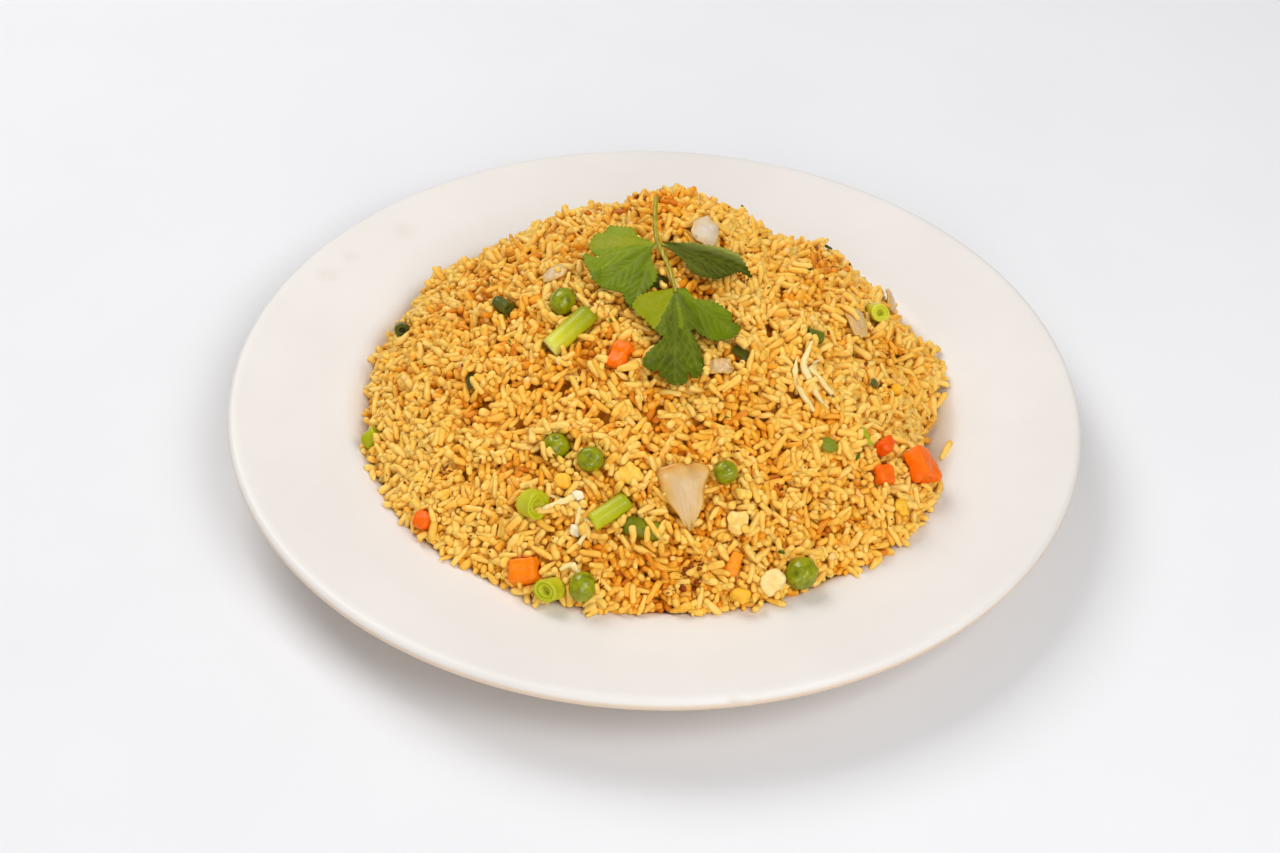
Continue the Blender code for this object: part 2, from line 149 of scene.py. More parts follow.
def turn(outline, sides):
    """Turns a closed outline, given as (radius, height) from underneath to the top, by extruding rings."""
    deselect()
    start, rise = outline[0]
    bpy.ops.mesh.primitive_circle_add(
        vertices=sides, radius=start * MM, fill_type="NGON", location=(0, 0, rise * MM)
    )
    bpy.ops.object.transform_apply(location=True)
    bpy.ops.object.mode_set(mode="EDIT")
    for (radius, height), (next_radius, next_height) in zip(outline, outline[1:]):
        climb = (0, 0, (next_height - height) * MM)
        bpy.ops.mesh.extrude_region_move(TRANSFORM_OT_translate={"value": climb})
        grow = next_radius / radius
        bpy.ops.transform.resize(value=(grow, grow, 1), center_override=(0, 0, next_height * MM))
    bpy.ops.mesh.select_all(action="SELECT")
    bpy.ops.mesh.normals_make_consistent(inside=False)
    bpy.ops.object.mode_set(mode="OBJECT")
    return bpy.context.object


def per(size):
    """A texture's scale on coordinates in metres, for features this many millimetres across."""
    return 1 / (size * MM)


def fine_relief(tree, shader, size, detail, strength, depth):
    """A skin with grain of this many millimetres, and this deep."""
    here = add(tree, "TexCoord").outputs["Object"]
    grain = add(tree, "TexNoise", {"Vector": here, "Scale": per(size), "Detail": detail})
    bump = add(tree, "Bump", {"Height": grain.outputs["Fac"], "Strength": strength, "Distance": depth * MM})
    tree.links.new(bump.outputs["Normal"], shader.inputs["Normal"])


lip_r = PLATE_R - LIP_ROUND
lip_z = PLATE_H - WALL / 2
outline = [(FOOT_R - FOOT_WIDTH - 1, FOOT_RECESS), (FOOT_R - FOOT_WIDTH, FOOT_ROUND)]
outline += [(FOOT_R - FOOT_WIDTH + FOOT_ROUND, 0), (FOOT_R - FOOT_ROUND, 0), (FOOT_R, FOOT_ROUND)]
outline += [(FOOT_R + 3, FLOOR_Z - WALL), (FLOOR_R - 8, FLOOR_Z - WALL + 0.3)]
outline += [(r, plate_top(r) - WALL) for r in (88, 92, 96, 100, 104, 110, 120, 130, lip_r - 2)]
for degrees in range(-90, 91, 18):
    angle = math.radians(degrees)
    outline.append((lip_r + LIP_ROUND * math.cos(angle), lip_z + WALL / 2 * math.sin(angle)))
outline += [(r, plate_top(r)) for r in (lip_r - 2, 130, 122, 114, 108, 105, 103, 101, 99, 97)]
outline += [(r, plate_top(r)) for r in (95, 93, 91, 89, 87, 85.5, 84, 80, 60, 20)]

plate = turn(outline, PLATE_SIDES)

# Matt glaze on stoneware, sprayed and fired: chalky and soft in the light, a little mottled, with a
# gentle orange peel.
stoneware, tree, shader = new_finish("matt_glazed_stoneware", Roughness=0.46, IOR=1.5)
here = add(tree, "TexCoord").outputs["Object"]
mottle = add(tree, "TexNoise", {"Vector": here, "Scale": per(35), "Detail": 4})
body = add(tree, "ValToRGB", {"Fac": mottle.outputs["Fac"]}, [(0.3, "E4DED8"), (0.7, "E8E3DD")])
colour = body.outputs["Color"]
# Faint stains: x, y, radius, strength.
STAINS = ((-116, 56, 5, 0.3), (-109, 67, 4, 0.3), (-92, 84, 6, 0.22), (25, -139, 4, 0.6))
for x, y, radius, strength in STAINS:
    away = add(tree, "VectorMath", {0: here, 1: (x * MM, y * MM, lip_z * MM)}, operation="DISTANCE")
    ragged = add(tree, "TexNoise", {"Vector": here, "Scale": per(3), "Detail": 3})
    near = add(tree, "MapRange", {"Value": away.outputs["Value"], "From Min": radius * MM, "From Max": 0})
    spot = add(tree, "Math", {0: near.outputs["Result"], 1: ragged.outputs["Fac"]}, operation="MULTIPLY")
    part = add(tree, "Math", {0: spot.outputs[0], 1: strength}, operation="MULTIPLY")
    brown = hex_colour("A97F55")
    stain = add(tree, "Mix", {"Factor": part.outputs[0], "A": colour, "B": brown}, data_type="RGBA")
    colour = stain.outputs["Result"]
# Faces turned sideways or down, the edge and the underside, are tinted buff: painted warm shade, for the
# shade round and under the rim.
facing = add(tree, "SeparateXYZ", {"Vector": add(tree, "NewGeometry").outputs["Normal"]})
painted_warm_shade = add(tree, "MapRange", {"Value": facing.outputs["Z"], "From Min": 0.55, "From Max": 0.1})
warm_shade_buff = hex_colour("DEC8B0")
glazed = add(tree, "Mix", {"Factor": painted_warm_shade.outputs["Result"], "A": colour, "B": warm_shade_buff}, data_type="RGBA")
tree.links.new(glazed.outputs["Result"], shader.inputs["Base Color"])
fine_relief(tree, shader, 2.5, 2, 0.06, 0.2)
settle(plate, "plate_glazed", stoneware, ["plate"])


# ---- Peas -------------------------------------------------------------------------------------
# Green peas, cooked until their skins have slackened: one is dented, one has a bowl in its top and
# one is folded. Each lies in the place of its plain ball, pressed into the rice.

PEA_SIDES = 36
chance = np.random.default_rng(11)


def lie_of(name):
    """Where a CAD node lies: its middle, its three axes from the longest to the shortest, its sizes."""
    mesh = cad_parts[name].data
    spots = np.unique(np.round([vertex.co / MM for vertex in mesh.vertices], 3), axis=0)
    axes = np.linalg.svd(spots - spots.mean(0), full_matrices=False)[2]
    axes[0] *= math.copysign(1, axes[0][np.abs(axes[0][:2]).argmax()])
    axes[2] *= math.copysign(1, axes[2][2])
    axes[1] = np.cross(axes[2], axes[0])
    reached = spots @ axes.T
    low, high = reached.min(0), reached.max(0)
    return (low + high) / 2 @ axes, axes, high - low


def unit(vectors):
    return vectors / np.linalg.norm(vectors, axis=-1, keepdims=True)


def vertices_of(obj):
    return np.array([vertex.co for vertex in obj.data.vertices])


def reshape(obj, spots, marks=None):
    """Moves an object's vertices to places in millimetres, and writes a mark of two shares at each."""
    obj.data.vertices.foreach_set("co", (spots * MM).ravel())
    if marks is not None:
        if "mark" not in obj.data.uv_layers:
            obj.data.uv_layers.new(name="mark")
        corners = [loop.vertex_index for loop in obj.data.loops]
        obj.data.uv_layers["mark"].data.foreach_set("uv", np.array(marks)[corners].ravel())
    obj.data.update()


def rough(spots, size, seed=0):
    """Smooth noise at points, for unevenness of this many millimetres."""
    return np.array([noise.noise(Vector(spot) / size + Vector((seed, 0, 0))) for spot in spots])


def join(objects):
    """Joins finished objects into one piece, which keeps only their marks."""
    deselect()
    for obj in objects:
        obj.select_set(True)
    bpy.context.view_layer.objects.active = objects[0]
    bpy.ops.object.join()
    joined = bpy.context.object
    for other in [layer.name for layer in joined.data.uv_layers if layer.name != "mark"]:
        joined.data.uv_layers.remove(joined.data.uv_layers[other])
    return joined


def mark_of(tree):
    """The two shares written on the mesh."""
    return add(tree, "SeparateXYZ", {"Vector": add(tree, "UVMap", uv_map="mark").outputs["UV"]})


# Dents: name, where the dent faces, its width as a share of the pea, its depth, depth of the wrinkles.
PEA_DENTS = {
    "pea_back_left": ((0.4, -0.5, 0.5), 0.3, 0.04, 0.01),
    "pea_middle": ((-0.1, -0.55, 0.8), 0.55, 0.34, 0.03),
    "pea_middle_right": ((0, -0.35, 0.9), 0.5, 0.42, 0.02),
    "pea_front_left": ((0.5, 0.1, 0.8), 0.3, 0.08, 0.015),
    "pea_front_right": ((-0.4, -0.6, 0.6), 0.35, 0.16, 0.1),
    "pea_buried": ((0, 0, 1), 0.4, 0.15, 0.05),
}
pea_balls = []
for number, (name, (facing, width, depth, wrinkle)) in enumerate(PEA_DENTS.items()):
    centre, axes, sizes = lie_of(name)
    deselect()
    bpy.ops.mesh.primitive_uv_sphere_add(segments=PEA_SIDES, ring_count=PEA_SIDES * 2 // 3, radius=1)
    pea = bpy.context.object
    ball = vertices_of(pea)
    near = np.exp(-np.sum((ball - unit(np.array(facing))) ** 2, 1) / (2 * (width / 1.6) ** 2))
    folds = 1 - np.abs(rough(ball, 0.7, number * 7)) * 2
    radius = 1 - depth * near - wrinkle * folds + wrinkle
    # The ball is stretched to the CAD solid's own three sizes, along its axes.
    spots = centre + (ball * radius[:, None]) @ axes.T * (sizes / 2) @ axes
    # The second share marks the dents, for the painted shade in them.
    reshape(pea, spots, np.stack([np.full(len(ball), number / 5), near], 1))
    pea_balls.append(pea)
# Slack pea skin: olive green with a waxy gloss, mottled, paler where it is thin, with painted shade
# darkening its dents.
pea_skin, tree, shader = new_finish(
    "cooked_pea_skin", Roughness=0.2, Specular_IOR_Level=0.4, Subsurface_Weight=0.3,
    Subsurface_Scale=1.5 * MM, Subsurface_Radius=(0.8, 0.7, 0.05),
)
here = add(tree, "TexCoord").outputs["Object"]
mottle = add(tree, "TexNoise", {"Vector": here, "Scale": per(2.2), "Detail": 4, "Roughness": 0.6})
olive = [(0.3, "707400"), (0.52, "8C9206"), (0.75, "AAA818")]
skin = add(tree, "ValToRGB", {"Fac": mottle.outputs["Fac"]}, olive)
# The dents are mixed towards a dark olive: painted shade.
dent_painted_shade = add(tree, "MapRange", {"Value": mark_of(tree).outputs["Y"], "From Min": 0.2, "To Max": 0.6})
shaded = add(tree, "Mix", {"Factor": dent_painted_shade.outputs["Result"], "A": skin.outputs["Color"],
                           "B": hex_colour("444800")}, data_type="RGBA")
tree.links.new(shaded.outputs["Result"], shader.inputs["Base Color"])
fine_relief(tree, shader, 0.7, 2, 0.12, 0.2)
peas = settle(join(pea_balls), "peas", pea_skin, list(PEA_DENTS))


# ---- Spring onion -----------------------------------------------------------------------------
# Spring onion cut across: hollow ribbed stalks, pale to lime green, and darker pieces and strips of
# the leaf, all softened in the pan and glossy with oil.

STALK_SIDES = 24
STALK_STEPS = 10
RIBS = 9
# Name, colour at the two ends from 0, dark leaf, to 1, pale stalk, and how far it bends, in mm.
STALKS = (
    ("scallion_long", 0.94, 0.5, 0.8), ("scallion_left_edge", 0.05, 0.15, 0.3),
    ("scallion_upper_left", 0.1, 0.2, 0.3), ("scallion_left_slice", 0.6, 0.7, 0.3),
    ("scallion_ring", 0.82, 0.7, 0), ("scallion_cut", 0.75, 0.6, 0.5),
    ("scallion_sunk", 0.3, 0.45, 0.4), ("scallion_by_pea", 0.82, 0.7, 0.2),
    ("scallion_right", 0.72, 0.85, 0.3), ("scallion_back_right", 0.25, 0.3, 0.2),
)
# Tubes whose cut end looks out of the heap more than their plain solid does.
FACING = {"scallion_by_pea": (-0.45, -0.7, 0.5), "scallion_right": (0.1, -0.6, 0.4)}
cuttings = {"scallion_stalks": [], "scallion_leaf_tubes": []}


def across(axis):
    """Two directions square to an axis, the first of them level."""
    side = unit(np.cross(axis, (0.02, 0.01, 1)))
    return side, np.cross(axis, side)


for number, (name, tone_low, tone_high, bend) in enumerate(STALKS):
    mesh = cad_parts[name].data
    lean = sum(face.area * np.outer(face.normal, face.normal) for face in mesh.polygons)
    axis = np.linalg.eigh(lean)[1][:, 0]
    axis = axis * math.copysign(1, axis[0])
    spots = vertices_of(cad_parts[name]) / MM
    centre = (spots.min(0) + spots.max(0)) / 2
    side, rise = across(axis)
    long = np.ptp(spots @ axis)
    outer = np.ptp(spots @ side) / 2
    wall = 0.3 * outer
    hollow = 0.4 * long
    if name in FACING:
        axis = unit(np.array(FACING[name]))
        side, rise = across(axis)
    cut = -long / 2
    shape = [(outer * 0.1, cut + hollow), (outer - 2.1 * wall, cut + hollow), (outer - 2 * wall, cut + 0.3)]
    shape += [(outer - 1.1 * wall, cut + 0.15), (outer - wall, cut + 0.5), (outer - 0.9 * wall, cut)]
    shape += [(outer * 0.97, cut)]
    shape += [(outer, long * (step / STALK_STEPS - 0.5)) for step in range(1, STALK_STEPS)]
    shape += [(r, -z) for r, z in reversed(shape[:7])]
    stalk = turn(shape, STALK_SIDES)
    form = vertices_of(stalk) / MM
    around = np.arctan2(form[:, 1], form[:, 0])
    share = form[:, 2] / long + 0.5
    ribbed = 1 + 0.012 * np.cos(RIBS * around) + 0.05 * np.cos(2 * around + number)
    form[:, :2] *= ribbed[:, None]
    slanted = form[:, 2] + 0.12 * form[:, 0] * (2 * share - 1)
    uneven = 0.18 * rough(form, 2.2, number * 5)
    middle_line = bend * (0.25 - (share - 0.5) ** 2)
    spots = centre + np.outer(slanted, axis) + np.outer(form[:, 0] * (1 + uneven * 0.3), side)
    spots += np.outer(form[:, 1] * 0.92 + middle_line + uneven, rise)
    tone = tone_low + (tone_high - tone_low) * share
    reshape(stalk, spots, np.stack([tone, around / math.tau + 0.5], 1))
    kind_name = "scallion_leaf_tubes" if tone_low < 0.5 and name != "scallion_sunk" else "scallion_stalks"
    cuttings[kind_name].append((name, stalk))


def give_wall(sheet, thickness, offset=-1):
    """Gives a sheet its thickness in millimetres: inwards, or with no offset to both sides."""
    wall = sheet.modifiers.new("Wall", "SOLIDIFY")
    wall.thickness = thickness * MM
    wall.offset = offset
    bpy.context.view_layer.objects.active = sheet
    bpy.ops.object.modifier_apply(modifier="Wall")


# Name, colour from dark to pale.
STRIPS = (
    ("scallion_curl", 0.1), ("scallion_square", 0.4), ("scallion_sliver", 0.62),
    ("scallion_back_edge", 0.15), ("scallion_arc", 0.1), ("scallion_by_yolk", 0.2),
    ("scallion_by_leaf", 0.12), ("scallion_under_leaf", 0.12),
)
for number, (name, tone) in enumerate(STRIPS):
    centre, axes, sizes = lie_of(name)
    deselect()
    bpy.ops.mesh.primitive_grid_add(x_subdivisions=14, y_subdivisions=8, size=2)
    strip = bpy.context.object
    form = vertices_of(strip)
    ragged = 1 + 0.12 * rough(form, 0.8, number * 9)
    sag = sizes[2] - 0.9
    form[:, 2] = 0.45 + sag * (0.5 - 0.75 * form[:, 1] ** 2 - 0.25 * form[:, 0] ** 2)
    form[:, 2] += 0.12 * np.cos(form[:, 1] * 9) + 0.1 * rough(form, 0.7, number)
    form[:, :2] *= (sizes[:2] / 2) * ragged[:, None] * (1 - 0.18 * form[:, 1:2] ** 2 * form[:, :1] ** 2)
    spots = centre + form @ axes
    reshape(strip, spots, np.stack([np.full(len(form), tone), form[:, 1] / sizes[1] + 0.5], 1))
    give_wall(strip, 0.5)
    cuttings["scallion_leaf_tubes"].append((name, strip))


def clouded_finish(name, share, stops, size, detail, spread, **inputs):
    """A material whose colour goes along the stops by a share on the mesh, made uneven by soft clouds
    of this many millimetres: gives it, its nodes, its shader, the mesh's shares and the colour."""
    made, tree, shader = new_finish(name, **inputs)
    mark = mark_of(tree)
    here = add(tree, "TexCoord").outputs["Object"]
    clouds = add(tree, "TexNoise", {"Vector": here, "Scale": per(size), "Detail": detail})
    uneven = add(tree, "MapRange", {"Value": clouds.outputs["Fac"], "To Min": -spread, "To Max": spread})
    tone = add(tree, "Math", {0: mark.outputs[share], 1: uneven.outputs["Result"]}, operation="ADD")
    ramp = add(tree, "ValToRGB", {"Fac": tone.outputs[0]}, stops)
    tree.links.new(ramp.outputs["Color"], shader.inputs["Base Color"])
    return made, tree, shader, mark, ramp.outputs["Color"]


def fine_ribs(tree, shader, mark, count, strength, depth):
    """Ribs along a skin, of this frequency over the share across it, and this deep: gives their wave."""
    ribs = add(tree, "Math", {0: mark.outputs["Y"], 1: count}, operation="MULTIPLY")
    wave = add(tree, "Math", {0: ribs.outputs[0]}, operation="SINE").outputs[0]
    bump = add(tree, "Bump", {"Height": wave, "Strength": strength, "Distance": depth * MM})
    tree.links.new(bump.outputs["Normal"], shader.inputs["Normal"])
    return wave


# From dark leaf to pale stalk.
SCALLION_GREENS = (
    (0, "343800"), (0.2, "545800"), (0.45, "868C00"), (0.65, "AEB000"), (0.85, "D0CC2A"), (1, "E6DE8C"),
)


def scallion_finish(name):
    """Soft, wet onion skin: fine fibres run along it, and its colour fades from leaf to stalk."""
    made, tree, shader, mark, green = clouded_finish(
        name, "X", SCALLION_GREENS, 2.5, 3, 0.07, Roughness=0.3, Specular_IOR_Level=0.25,
        Subsurface_Weight=0.4, Subsurface_Scale=1.5 * MM, Subsurface_Radius=(0.8, 0.8, 0.08),
    )
    wave = fine_ribs(tree, shader, mark, 150.0, 0.15, 0.1)
    faint = add(tree, "MapRange", {"Value": wave, "From Min": -1, "To Max": 0.04})
    striped = add(tree, "Mix", {"Factor": faint.outputs["Result"], "A": green,
                                "B": hex_colour("DCE48A")}, data_type="RGBA")
    tree.links.new(striped.outputs["Result"], shader.inputs["Base Color"])
    return made


scallion_pieces = []
for name, slot in (("scallion_stalks", "spring_onion_stalk"), ("scallion_leaf_tubes", "spring_onion_leaf")):
    nodes = [node for node, _ in cuttings[name]]
    piece = join([obj for _, obj in cuttings[name]])
    scallion_pieces.append(settle(piece, name, scallion_finish("wet_" + name), nodes))
stalks, leaf_strips = scallion_pieces


# ---- Carrot -----------------------------------------------------------------------------------
# Carrot cut by hand into dice and tossed in the pan: firm, with slightly hollow faces, softened
# edges and a paler core, wet with oil.

# Name, colour from 0, golden, to 1, red-orange.
CARROTS = (
    ("carrot_right_large", 0.8), ("carrot_right_upper", 0.95), ("carrot_right_lower", 0.85),
    ("carrot_left_edge", 0.85), ("carrot_front", 0.6), ("carrot_middle", 0.75),
    ("carrot_back_left", 0.15), ("carrot_sunk", 0.35),
)


def rounded_copy(name, grid_size, smoothing):
    """A copy of a CAD solid, remeshed finely and softened, for shaping further."""
    deselect()
    obj = bpy.data.objects.new(name + "_soft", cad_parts[name].data.copy())
    bpy.context.scene.collection.objects.link(obj)
    obj.select_set(True)
    bpy.context.view_layer.objects.active = obj
    bpy.ops.object.mode_set(mode="EDIT")
    bpy.ops.mesh.select_all(action="SELECT")
    bpy.ops.mesh.remove_doubles(threshold=0.01 * MM)
    bpy.ops.object.mode_set(mode="OBJECT")
    remesh = obj.modifiers.new("Remesh", "REMESH")
    remesh.mode = "VOXEL"
    remesh.voxel_size = grid_size * MM
    bpy.ops.object.modifier_apply(modifier="Remesh")
    even = obj.modifiers.new("Smooth", "SMOOTH")
    even.iterations = smoothing
    even.factor = 0.5
    bpy.ops.object.modifier_apply(modifier="Smooth")
    for layer in list(obj.data.uv_layers):
        obj.data.uv_layers.remove(layer)
    return obj


def outward_of(obj):
    return np.array([vertex.normal for vertex in obj.data.vertices])


dice = []
for number, (name, tone) in enumerate(CARROTS):
    obj = rounded_copy(name, 0.5, 5)
    spots = vertices_of(obj) / MM
    out = outward_of(obj)
    moved = 0.9 * rough(spots, 4, number * 3) + 0.25 * rough(spots, 1.3, number * 3)
    reshape(obj, spots + out * moved[:, None], np.stack([np.full(len(spots), tone), moved + 0.5], 1))
    dice.append(obj)
# Cooked carrot: dense and moist, orange with pale streaks, glossy with oil; it glows a little inside.
carrot, tree, shader = new_finish(
    "cooked_carrot", Roughness=0.35, Specular_IOR_Level=0.2, Subsurface_Weight=0.3,
    Subsurface_Scale=1 * MM, Subsurface_Radius=(1.0, 0.3, 0.02),
)
here = add(tree, "TexCoord").outputs["Object"]
oranges = [(0.2, "F4A424"), (0.5, "F88A08"), (0.8, "FA6E00"), (1, "EC4E00")]
tone = add(tree, "ValToRGB", {"Fac": mark_of(tree).outputs["X"]}, oranges)
streak = add(tree, "TexNoise", {"Vector": here, "Scale": per(1.6), "Detail": 4, "Roughness": 0.65})
streaked = {"Value": streak.outputs["Fac"], "From Min": 0.5, "From Max": 0.8, "To Max": 0.5}
much = add(tree, "MapRange", streaked)
pale = add(tree, "Mix", {"Factor": much.outputs["Result"], "A": tone.outputs["Color"],
                         "B": hex_colour("FFA030")}, data_type="RGBA")
tree.links.new(pale.outputs["Result"], shader.inputs["Base Color"])
bump = add(tree, "Bump", {"Height": streak.outputs["Fac"], "Strength": 0.25, "Distance": 0.25 * MM})
tree.links.new(bump.outputs["Normal"], shader.inputs["Normal"])
carrots = settle(join(dice), "carrot_dice", carrot, [name for name, _ in CARROTS])


# ---- Onion ------------------------------------------------------------------------------------
# Layers of white onion cut into short petals and cooked until glassy: thin, arched both ways, with
# faint ribs along them, and stained gold at the edges by the pan.

# Name, colour from 0, white, to 1, gold, width at the near or left end and at the other, creases.
PETALS = (
    ("onion_front", 0.5, 0.28, 1.3, 0.15), ("onion_top", 0.1, 1, 0.85, 0.2),
    ("onion_upper_left", 0.4, 0.8, 1, 0.2), ("onion_right", 0.45, 0.7, 1, 0.3),
    ("onion_by_leaf", 0.45, 0.9, 1, 0.8), ("onion_right_edge", 0.35, 1, 1, 0.2),
)
sheets = []
for number, (name, tone, near_end, far_end, crease) in enumerate(PETALS):
    centre, axes, sizes = lie_of(name)
    deselect()
    bpy.ops.mesh.primitive_grid_add(x_subdivisions=30, y_subdivisions=20, size=2)
    petal = bpy.context.object
    form = vertices_of(petal)
    u, v = form[:, 0].copy(), form[:, 1].copy()
    # The sheet narrows from one cut end to the other, with its corners drawn in.
    narrow = (near_end + (far_end - near_end) * (u + 1) / 2) * (1 - 0.3 * np.abs(u) ** 5)
    edge = 1 + 0.16 * rough(form, 0.6, number * 4)
    form[:, 0] = u * sizes[0] / 2 * edge * (1 - 0.1 * v**2)
    form[:, 1] = v * narrow * sizes[1] / 2 * edge
    sag = sizes[2] - 1.8
    form[:, 2] = 1.5 + sag * (0.5 - 0.55 * v**2 * narrow**2 - 0.45 * u**2)
    creases = crease * rough(form, 1.6, number) + 0.6 * rough(form, 6, number)
    form[:, 2] += 0.06 * np.cos(7 * math.pi * v) + creases
    spots = centre + form @ axes
    rim = np.maximum(np.abs(u), np.abs(v)) ** 3
    reshape(petal, spots, np.stack([tone + 0.45 * rim, v / 2 + 0.5], 1))
    give_wall(petal, 1)
    sheets.append(petal)
# Glassy cooked onion: light goes deep into it. Its gold is partly painted light, for the rice's gold seen
# through it, besides the pan's gold at the edges.
onion_tones = [(0, "F3E2CE"), (0.45, "E8C294"), (0.8, "E8B464"), (1, "E09A3C")]
onion, tree, shader, mark, _ = clouded_finish(
    "glassy_cooked_onion", "X", onion_tones, 4, 3, 0.3, Roughness=0.3, Specular_IOR_Level=0.3,
    Subsurface_Weight=0.8, Subsurface_Scale=3 * MM, Subsurface_Radius=(1.0, 0.7, 0.4),
    Transmission_Weight=0.12,
)
fine_ribs(tree, shader, mark, 80.0, 0.05, 0.2)
petals = settle(join(sheets), "onion_petals", onion, [petal[0] for petal in PETALS])


# ---- Egg --------------------------------------------------------------------------------------
# Egg stirred into the hot rice: torn, folded curds of yolk, and paler ones where the white mixed in.
# They lie half sunk between the grains, and some rest on top.

# Name, colour from 0, white, to 1, yolk.
CURDS = (
    ("egg_front_right", 0.35), ("egg_yolk_front", 0.85), ("egg_yolk_right", 0.95),
    ("egg_white_curl", 0.05), ("egg_white_flake", 0.08), ("egg_round", 0.6),
    ("egg_middle_right", 0.45), ("egg_right", 0.8), ("egg_yolk_middle", 0.8),
    ("egg_small_right", 0.55), ("egg_back_left", 0.5),
)
torn = []
for number, (name, tone) in enumerate(CURDS):
    obj = rounded_copy(name, 0.55, 2)
    spots = vertices_of(obj) / MM
    out = outward_of(obj)
    folded = 1 - np.abs(rough(spots, 3.2, number * 11)) * 2.6
    moved = 0.6 * folded + 2.2 * rough(spots, 4.5, number * 11) + 0.35 * rough(spots, 1.4, number) - 0.2
    reshape(obj, spots + out * moved[:, None], np.stack([np.full(len(spots), tone), folded], 1))
    torn.append(obj)
# Soft scrambled egg: moist and matt, with clouds of yolk yellow and white.
egg_tones = [(0, "FBEBCB"), (0.3, "FADA98"), (0.6, "FAC850"), (1, "F8B010")]
egg, tree, shader, _, _ = clouded_finish(
    "scrambled_egg", "X", egg_tones, 2.5, 3, 0.25, Roughness=0.42, Specular_IOR_Level=0.25,
    Subsurface_Weight=0.6, Subsurface_Scale=2.5 * MM, Subsurface_Radius=(1.0, 0.7, 0.35),
)
fine_relief(tree, shader, 0.8, 3, 0.4, 0.3)
curds = settle(join(torn), "egg_curds", egg, [name for name, _ in CURDS])


# ---- Coriander --------------------------------------------------------------------------------
# One sprig of fresh coriander laid on the crown: a grooved stem that parts into three broad, thin
# leaflets with toothed lobes. It rests on the rice by its leaflets, which arch clear of it.

LEAF_GRID = 0.55
LEAF_THICKNESS = 0.35
TOOTH = 1.7  # spacing of the fine teeth
TOOTH_DEPTH = 0.7
PLAIN_BASE = 6.5  # how far from its stalk a leaflet has no teeth
# Node, where its stalk joins, the outline anticlockwise, and veins: tip of each, tone from dark to light.
# The lobes' tones paint in part the light and shade that fall on them; the right leaflet's are dark for the
# shade on it.
LEAFLETS = (
    (
        "coriander_leaf_left", (-1.5, 7),
        (
            (-1.5, 7.2), (-7.5, 10.5), (-9, 13.5), (-12, 14.5), (-14.5, 15.5), (-17, 15.5), (-17, 13),
            (-20.5, 13.5), (-22, 11), (-22.5, 8.5), (-21, 5.5), (-16.5, 2.8), (-21.5, 4), (-24, 5.5),
            (-23.5, 1.5), (-21.5, -2), (-20.5, -6), (-17, -9.5), (-14, -10.5), (-11, -11.5), (-9.5, -16),
            (-7.5, -17.5), (-5.5, -17.5), (-5.2, -11.5), (-3, -9.5), (-1, -6.5), (-1, -3.5), (-2.5, -1),
            (-3, 5),
        ),
        (((-15.5, 15), 0.75), ((-22, 10), 0.85), ((-23.5, 3), 0.6), ((-18, -8.5), 0.4), ((-8, -17), 0.35),
         ((-2, -5), 0.5)),
    ),
    (
        "coriander_leaf_right", (0.5, 9.8),
        (
            (0.5, 9), (2.5, 8.2), (5, 6.5), (8.5, 2.5), (9.5, 0), (12, -3), (14.5, -3), (18, -3.5),
            (21.5, -1), (24.5, 3), (26, 3.5), (29.5, 2), (27.5, 6.5), (25, 10.5), (20.5, 11.5),
            (16.5, 11.3), (13, 10.8), (8.5, 10.2), (4.5, 10.6), (0.8, 10.6),
        ),
        (((27.5, 4), 0), ((21, 0), 0), ((14, -2), 0.05)),
    ),
    (
        "coriander_leaf_front", (5, -10.5),
        (
            (4, -10), (0.5, -11.5), (-3.5, -13), (-6, -14), (-8, -18), (-6.5, -21), (-4, -23), (-1, -26.5),
            (1.5, -29), (2.8, -29.6), (1.5, -30.5), (-1, -33), (-3.5, -36), (-4, -38), (-3.5, -40), (0, -41),
            (1.5, -39.2), (1, -43), (3, -43), (4.5, -45), (6.5, -44.5), (9, -44), (9, -39.5), (11.5, -42.5),
            (13.5, -40.5), (14, -36.5), (13, -33), (12, -30.5), (10, -26.5), (10.5, -24), (13, -27),
            (17.5, -28.5), (21.5, -27.5), (25, -24.5), (25, -22), (22, -21), (23, -19), (21.5, -17),
            (19, -15.5), (16.5, -14.5), (11.5, -14), (8.5, -10),
        ),
        (((-6.5, -18.5), 0.9), ((-1, -25.5), 0.85), ((-3, -38), 0.2), ((5.5, -43.5), 0.15),
         ((12.5, -39.5), 0.2), ((7.5, -24), 0.55), ((23, -24.5), 0.35), ((20, -17), 0.45)),
    ),
)


def toothed(outline, base):
    """The outline with fine teeth along it, apart from near the stalk."""
    points = []
    for start, end in zip(outline, (*outline[1:], outline[0])):
        start = Vector(start)
        run = Vector(end) - start
        out = Vector((run.y, -run.x)).normalized()
        count = max(1, round(run.length / TOOTH))
        points.append(start)
        for step in range(count):
            middle_of_tooth = start + run * (step + 0.62) / count
            if (middle_of_tooth - Vector(base)).length > PLAIN_BASE:
                points.append(middle_of_tooth + out * TOOTH_DEPTH)
            if step < count - 1:
                points.append(start + run * (step + 1) / count)
    return points


def to_line(spots, start, end):
    """How far points are from a line, and how far along it they lie."""
    start, end = np.array(start), np.array(end)
    run = end - start
    share = np.clip((spots - start) @ run / (run @ run), 0, 1)
    return np.linalg.norm(spots - start - share[:, None] * run, axis=1), share


def bowl_terms(spots):
    """The terms of a smooth sheet that curves both ways, at points."""
    x, y = spots[:, 0], spots[:, 1]
    return np.stack([np.ones(len(spots)), x, y, x**2, x * y, y**2], 1)


